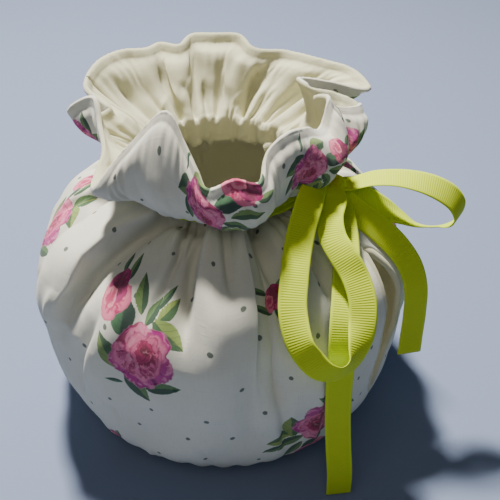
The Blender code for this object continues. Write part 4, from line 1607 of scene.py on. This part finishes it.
RIBBON_RUNS = {
    "front_loop": (
        # azimuth, radius, height, width_azimuth, width_tilt
        (10.0, 50.5, 134.5, 190.0, 45.0),
        (-2.0, 50.5, 141.5, 176.0, 45.0),
        (-13.0, 53.5, 143.5, 180.0, 35.0),
        (-21.0, 57.5, 140.5, 198.0, 15.0),
        (-28.0, 62.5, 134.0, 208.0, 5.0),
        (-33.0, 68.5, 128.0, 210.0, 0.0),
        (-37.0, 76.0, 121.5, 210.0, 0.0),
        (-40.0, 84.5, 113.5, 206.0, -4.0),
        (-40.5, 94.0, 104.5, 195.0, -15.0),
        (-38.5, 99.5, 98.0, 206.0, -21.0),
        (-36.0, 103.0, 93.0, 203.0, -45.0),
        (-32.5, 104.5, 90.5, 167.0, -70.0),
        (-28.5, 104.0, 92.5, 79.0, -47.0),
        (-25.5, 101.0, 98.0, 55.0, -18.0),
        (-22.5, 96.5, 104.5, 35.0, 0.0),
        (-20.0, 91.5, 111.5, 30.0, 0.0),
        (-18.5, 84.5, 118.5, 30.0, 0.0),
        (-18.5, 77.0, 125.0, 25.0, 0.0),
        (-17.5, 69.5, 130.0, 25.0, -4.0),
        (-12.5, 62.5, 134.5, 25.0, -6.0),
        (-2.0, 57.5, 137.0, 24.0, -10.0),
        (10.0, 50.5, 136.0, 20.0, -20.0),
    ),
    "side_loop": (
        (10.0, 50.5, 135.5, 100.0, 0.0),
        (14.0, 60.0, 134.5, 105.0, 0.0),
        (16.0, 70.0, 137.5, 106.0, 4.0),
        (17.0, 80.0, 138.5, 107.0, 8.0),
        (17.5, 90.0, 137.5, 106.0, 18.0),
        (18.0, 99.0, 134.5, 102.0, 28.0),
        (18.5, 106.5, 129.5, 95.0, 32.0),
        (19.0, 110.5, 122.5, 85.0, 20.0),
        (19.5, 109.0, 115.5, 90.0, -10.0),
        (20.0, 102.5, 111.5, 100.0, -32.0),
        (19.0, 94.0, 112.5, 108.0, -30.0),
        (17.5, 85.0, 117.5, 104.0, -5.0),
        (16.0, 76.0, 122.5, 98.0, 25.0),
        (13.5, 65.0, 129.0, 92.0, 42.0),
        (10.0, 50.5, 133.5, 90.0, 45.0),
    ),
    "front_tail": (
        (10.0, 50.5, 133.5, 60.0, 0.0),
        (2.0, 59.5, 129.5, 50.0, 0.0),
        (-6.0, 66.5, 124.0, 40.0, 0.0),
        (-14.0, 74.5, 118.0, 32.0, 0.0),
        (-21.0, 83.5, 110.5, 30.0, 0.0),
        (-26.0, 91.5, 101.5, 30.0, 0.0),
        (-28.0, 96.0, 90.0, 32.0, 0.0),
        (-28.5, 97.5, 74.0, 38.0, 0.0),
        (-28.5, 99.0, 55.0, 40.0, 0.0),
        (-28.0, 101.0, 35.0, 38.0, 0.0),
        (-27.5, 103.0, 18.0, 36.0, 0.0),
        (-27.5, 104.0, 4.0, 36.0, 0.0),
    ),
    "side_tail": (
        (10.0, 50.5, 133.5, 75.0, 35.0),
        (7.0, 62.0, 127.5, 70.0, 36.0),
        (7.5, 70.5, 122.5, 68.0, 34.0),
        (8.0, 79.0, 116.5, 65.0, 28.0),
        (8.5, 87.0, 109.0, 60.0, 18.0),
        (8.5, 93.5, 100.0, 52.0, 8.0),
        (8.0, 97.5, 89.0, 47.0, 0.0),
        (7.5, 99.0, 75.0, 45.0, 0.0),
        (7.0, 99.5, 62.0, 43.0, 0.0),
        (6.5, 100.0, 51.0, 42.0, 0.0),
    ),
}


@dataclass
class RibbonBow:
    """The grosgrain ribbon: a band round the neck, and its knot, loops and tails."""

    form: CosyForm
    width: float = 12.0
    thickness: float = 0.7
    band_radius: float = 42.2
    band_height: float = 5.4
    band_steps: int = 540
    crushed_share: float = 0.86
    crushed_reach: float = 9.0
    steps_per_row: int = 26
    across_steps: int = 16
    knot: Knot = Knot()

    def across(self) -> Array:
        """Places across the ribbon from -1 to 1."""
        return np.linspace(-1.0, 1.0, self.across_steps + 1)

    def ring(self, centres: Array, widths: Array, lifts: Array, share: Array, along: Array) -> ClothSheet:
        """A closed strip of ribbon, folded lengthwise where it is narrower than it was woven.

        Args:
            centres: The middle of each section.
            widths: The unit direction of the ribbon's width there.
            lifts: The unit direction out of its face.
            share: How much of its woven width is left there.
            along: Millimetres along the ribbon.

        Returns:
            The strip, both faces and both edges, with along and across as its flat coordinates.
        """
        u = self.across()
        half = self.width / 2
        depth = half / 3.0 * np.sqrt(np.clip(1.0 - share**2, 0.0, 1.0))
        fold = np.cos(1.5 * math.pi * (u + 1.0))
        offset = depth[:, None] * fold[None, :]
        spread = u[None, :] * half * share[:, None]
        thin = self.thickness / 2 * np.clip(1.25 - np.abs(u) ** 14, 0.25, 1.0)
        middle = centres[:, None, :] + widths[:, None, :] * spread[:, :, None]
        upper = middle + lifts[:, None, :] * (offset + thin)[:, :, None]
        lower = middle + lifts[:, None, :] * (offset - thin)[:, :, None]
        points = np.concatenate([upper, lower[:, ::-1]], axis=1)
        flat_across = np.concatenate([u, u[::-1]]) * half
        flat = np.stack(np.broadcast_arrays(along[:, None], flat_across[None, :]), axis=-1)
        return ClothSheet(points, flat, wraps=True)

    def capped(self, sheet: ClothSheet) -> ClothSheet:
        """A strip with its two cut ends closed."""
        middle = self.across_steps + 1
        points, flat = sheet.points, sheet.flat
        ends = []
        for row in (0, -1):
            pair = (points[row, :middle] + points[row, ::-1][:middle]) / 2
            ends.append(np.concatenate([pair, pair[::-1]])[None])
        return ClothSheet(
            np.concatenate([ends[0], points, ends[1]]), np.concatenate([flat[:1], flat, flat[-1:]]), True
        )

    def run_sheet(self, rows: Sequence[tuple[float, ...]]) -> ClothSheet:
        """A run of ribbon through a table's rows."""
        table = np.array(rows)
        count = (len(table) - 1) * self.steps_per_row + 1
        centres = open_curve(polar(table[:, 0], table[:, 1], table[:, 2]), count)
        turn, rise = np.radians(table[:, 3]), np.radians(table[:, 4])
        widths = np.stack([np.cos(rise) * np.cos(turn), np.cos(rise) * np.sin(turn), np.sin(rise)], axis=-1)
        widths = open_curve(widths, count)
        headings = unit(np.gradient(centres, axis=0))
        widths = unit(widths - headings * np.sum(widths * headings, axis=1, keepdims=True))
        lifts = np.cross(headings, widths)
        knot = polar(self.knot.azimuth, self.knot.radius, self.knot.height)
        reach = np.linalg.norm(centres - knot, axis=1)
        share = self.crushed_share + (1.0 - self.crushed_share) * smooth(0.0, self.crushed_reach, reach)
        return self.capped(self.ring(centres, widths, lifts, share, length_along(centres)))

    def band_sheet(self) -> ClothSheet:
        """The band round the gathered neck, drawn in to a narrow bunch of lengthwise folds."""
        turn = np.linspace(0.0, 360.0, self.band_steps + 1)
        wave = 0.22 * np.sin(np.radians(turn * 17.0)) + 0.16 * np.sin(np.radians(turn * 29.0 + 40.0))
        height = self.form.neck_height + 0.6 + 0.3 * np.sin(np.radians(turn * 5.0))
        centres = polar(turn, self.band_radius + wave, height)
        lean = np.radians(3.0 * np.sin(np.radians(turn * 11.0)))
        outward_way = polar(turn, 1.0, 0.0)
        lifts = unit(outward_way * np.cos(lean)[:, None] + np.array([0.0, 0.0, 1.0]) * np.sin(lean)[:, None])
        widths = unit(np.cross(lifts, unit(np.gradient(centres, axis=0))))
        share = np.full(len(turn), self.band_height / self.width) + 0.03 * np.sin(np.radians(turn * 7.0))
        sheet = self.ring(centres, widths, lifts, share, length_along(centres))
        return ClothSheet(self.flattened(sheet.points), sheet.flat, wraps=True)

    def flattened(self, points: Array) -> Array:
        """The band pressed out to stay clear of the cloth that it holds."""
        least = self.form.neck_radius + self.form.gather_depth + self.form.face + 0.25
        radius = np.linalg.norm(points[..., :2], axis=-1, keepdims=True)
        eased = least + np.log1p(np.exp((radius - least) * 4.0)) / 4.0
        flat = points.copy()
        flat[..., :2] *= eased / radius
        return flat

    def knot_sheet(self) -> ClothSheet:
        """The knot: the ribbon wrapped once over the bow's middle, bunched into folds."""
        knot = self.knot
        turn = np.linspace(0.0, math.tau, 121)[:, None]
        side = np.linspace(-1.0, 1.0, 49)[None, :]
        belly = np.clip(1.0 - np.abs(side) ** 2.6, 0.0, 1.0) ** 0.5
        folds = 1.0 + 0.07 * np.cos(side * 9.0 + 0.5 * np.sin(turn * 2.0)) * belly
        out = knot.half_out * belly * folds * np.cos(turn)
        up = knot.half_high * belly * folds * np.sin(turn)
        across = knot.half_across * side * (1.0 + 0.05 * np.sin(turn * 3.0))
        azimuth = math.radians(knot.azimuth)
        outward_way = np.array([math.cos(azimuth), math.sin(azimuth), 0.0])
        side_way = np.array([-math.sin(azimuth), math.cos(azimuth), 0.0])
        middle = polar(knot.azimuth, knot.radius, knot.height)
        points = (
            middle + out[:, :, None] * outward_way + across[:, :, None] * side_way
            + up[:, :, None] * np.array([0.0, 0.0, 1.0])
        )
        flat = np.stack(np.broadcast_arrays(turn * knot.half_high * 1.4, side * self.width * 0.36), axis=-1)
        return ClothSheet(points, flat)

    def build(self, material: bpy.types.Material) -> list[bpy.types.Object]:
        """Makes the band, the knot and each loop and tail.

        Args:
            material: The ribbon's finish.

        Returns:
            The pieces.
        """
        sheets = {"neck_band": self.band_sheet(), "bow_knot": self.knot_sheet()}
        sheets.update({name: self.run_sheet(rows) for name, rows in RIBBON_RUNS.items()})
        pieces = []
        for name, sheet in sheets.items():
            piece = sheet.make(name, material, Slot.RIBBON)
            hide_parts("ribbon")
            pieces.append(piece)
            name in RIBBON_RUNS
        return pieces


@dataclass(frozen=True)
class Lamp:
    """A square soft light, placed from the foot of the cosy's axis."""

    name: str
    place: tuple[float, float, float]
    size: float
    power: float
    colour: Colour


LAMPS = each_row(Lamp, (
    # name, place, size, power, colour
    ("key_light", (-0.36, 0.22, 1.10), 0.12, 39.0, (1.0, 0.96, 0.88)),
    ("fill_light", (0.20, -0.80, 1.0), 0.8, 2.2, (1.0, 0.90, 0.74)),
))


@dataclass(frozen=True)
class Studio:
    """A pale floor, light from above and behind, and the camera at the photograph's angle."""

    floor_colour: Colour = (0.19, 0.235, 0.355)
    floor_roughness: float = 0.9
    floor_half: float = 12.0
    sky_colour: Colour = (0.50, 0.70, 1.0)
    sky_strength: float = 0.10
    azimuth: float = 30.0
    elevation: float = 38.0
    distance: float = 0.430
    target_height: float = 0.080
    lens_in_pixels: float = 849.0
    frame_pixels: float = 500.0
    middle_pixel: tuple[float, float] = (222.0, 256.0)
    sensor: float = 36.0

    def build(self) -> None:
        """Makes the floor, the lights and the camera."""
        self.floor()
        self.world()
        for lamp in LAMPS:
            self.light(lamp)
        self.camera()

    def floor(self) -> None:
        """A wide pale floor, blue-grey as white is in shade."""
        half = self.floor_half
        mesh = bpy.data.meshes.new("floor")
        mesh.from_pydata([(-half, -half, 0), (half, -half, 0), (half, half, 0), (-half, half, 0)], [],
                         [(0, 1, 2, 3)])
        material, _, _ = new_material(
            "pale_blue_grey_floor", Base_Color=self.floor_colour, Roughness=self.floor_roughness
        )
        mesh.materials.append(material)
        floor = bpy.data.objects.new("floor", mesh)
        bpy.context.scene.collection.objects.link(floor)

    def world(self) -> None:
        """Dim blue light from all round, as shade under an open sky has."""
        world = bpy.data.worlds.new("studio")
        world.use_nodes = True
        sky = world.node_tree.nodes["Background"]
        sky.inputs["Color"].default_value = (*self.sky_colour, 1.0)
        sky.inputs["Strength"].default_value = self.sky_strength
        bpy.context.scene.world = world

    def light(self, lamp: Lamp) -> None:
        """A lamp aimed at the cosy's middle."""
        data = bpy.data.lights.new(lamp.name, "AREA")
        data.size = lamp.size
        data.energy = lamp.power
        data.color = lamp.colour
        light = bpy.data.objects.new(lamp.name, data)
        light.location = AXIS + Vector(lamp.place)
        aim = AXIS + Vector((0.0, 0.0, self.target_height)) - light.location
        light.rotation_euler = aim.to_track_quat("-Z", "Y").to_euler()
        bpy.context.scene.collection.objects.link(light)

    def camera(self) -> None:
        """The camera, with the shift that the photograph's framing needs."""
        data = bpy.data.cameras.new("camera")
        data.sensor_width = self.sensor
        data.lens = self.sensor * self.lens_in_pixels / self.frame_pixels
        half = self.frame_pixels / 2
        data.shift_x = (half - self.middle_pixel[0]) / self.frame_pixels
        data.shift_y = (self.middle_pixel[1] - half) / self.frame_pixels
        turn, rise = math.radians(self.azimuth), math.radians(self.elevation)
        back = Vector((math.sin(turn) * math.cos(rise), -math.cos(turn) * math.cos(rise), math.sin(rise)))
        camera = bpy.data.objects.new("camera", data)
        camera.location = AXIS + Vector((0.0, 0.0, self.target_height)) + back * self.distance
        camera.rotation_euler = back.to_track_quat("Z", "Y").to_euler()
        bpy.context.scene.collection.objects.link(camera)
        bpy.context.scene.camera = camera


def main() -> None:
    """Builds the cosy's classes in order and reports each piece."""
    logging.basicConfig(level=logging.INFO, format="%(name)s %(message)s")
    effects = Effects()
    cream = ClothFinish("cream_lining_cotton", (0.66, 0.64, 0.445), (0.54, 0.52, 0.36)).build(effects)
    print_cloth = PrintFinish("printed_cotton", (0.745, 0.73, 0.615), (0.62, 0.605, 0.515)).build(effects)
    ribbon = RibbonFinish().build(effects)
    form = CosyForm()
    pieces = []
    for side in Side:
        pieces += CosyPanel(form, side).build(print_cloth, cream, FloralPrint())
    pieces += RibbonBow(form).build(ribbon)
    Studio().build()
    for piece in pieces:
        LOG.info("%s: %d faces", piece.name, len(piece.data.polygons))


if __name__ == "__main__":
    main()
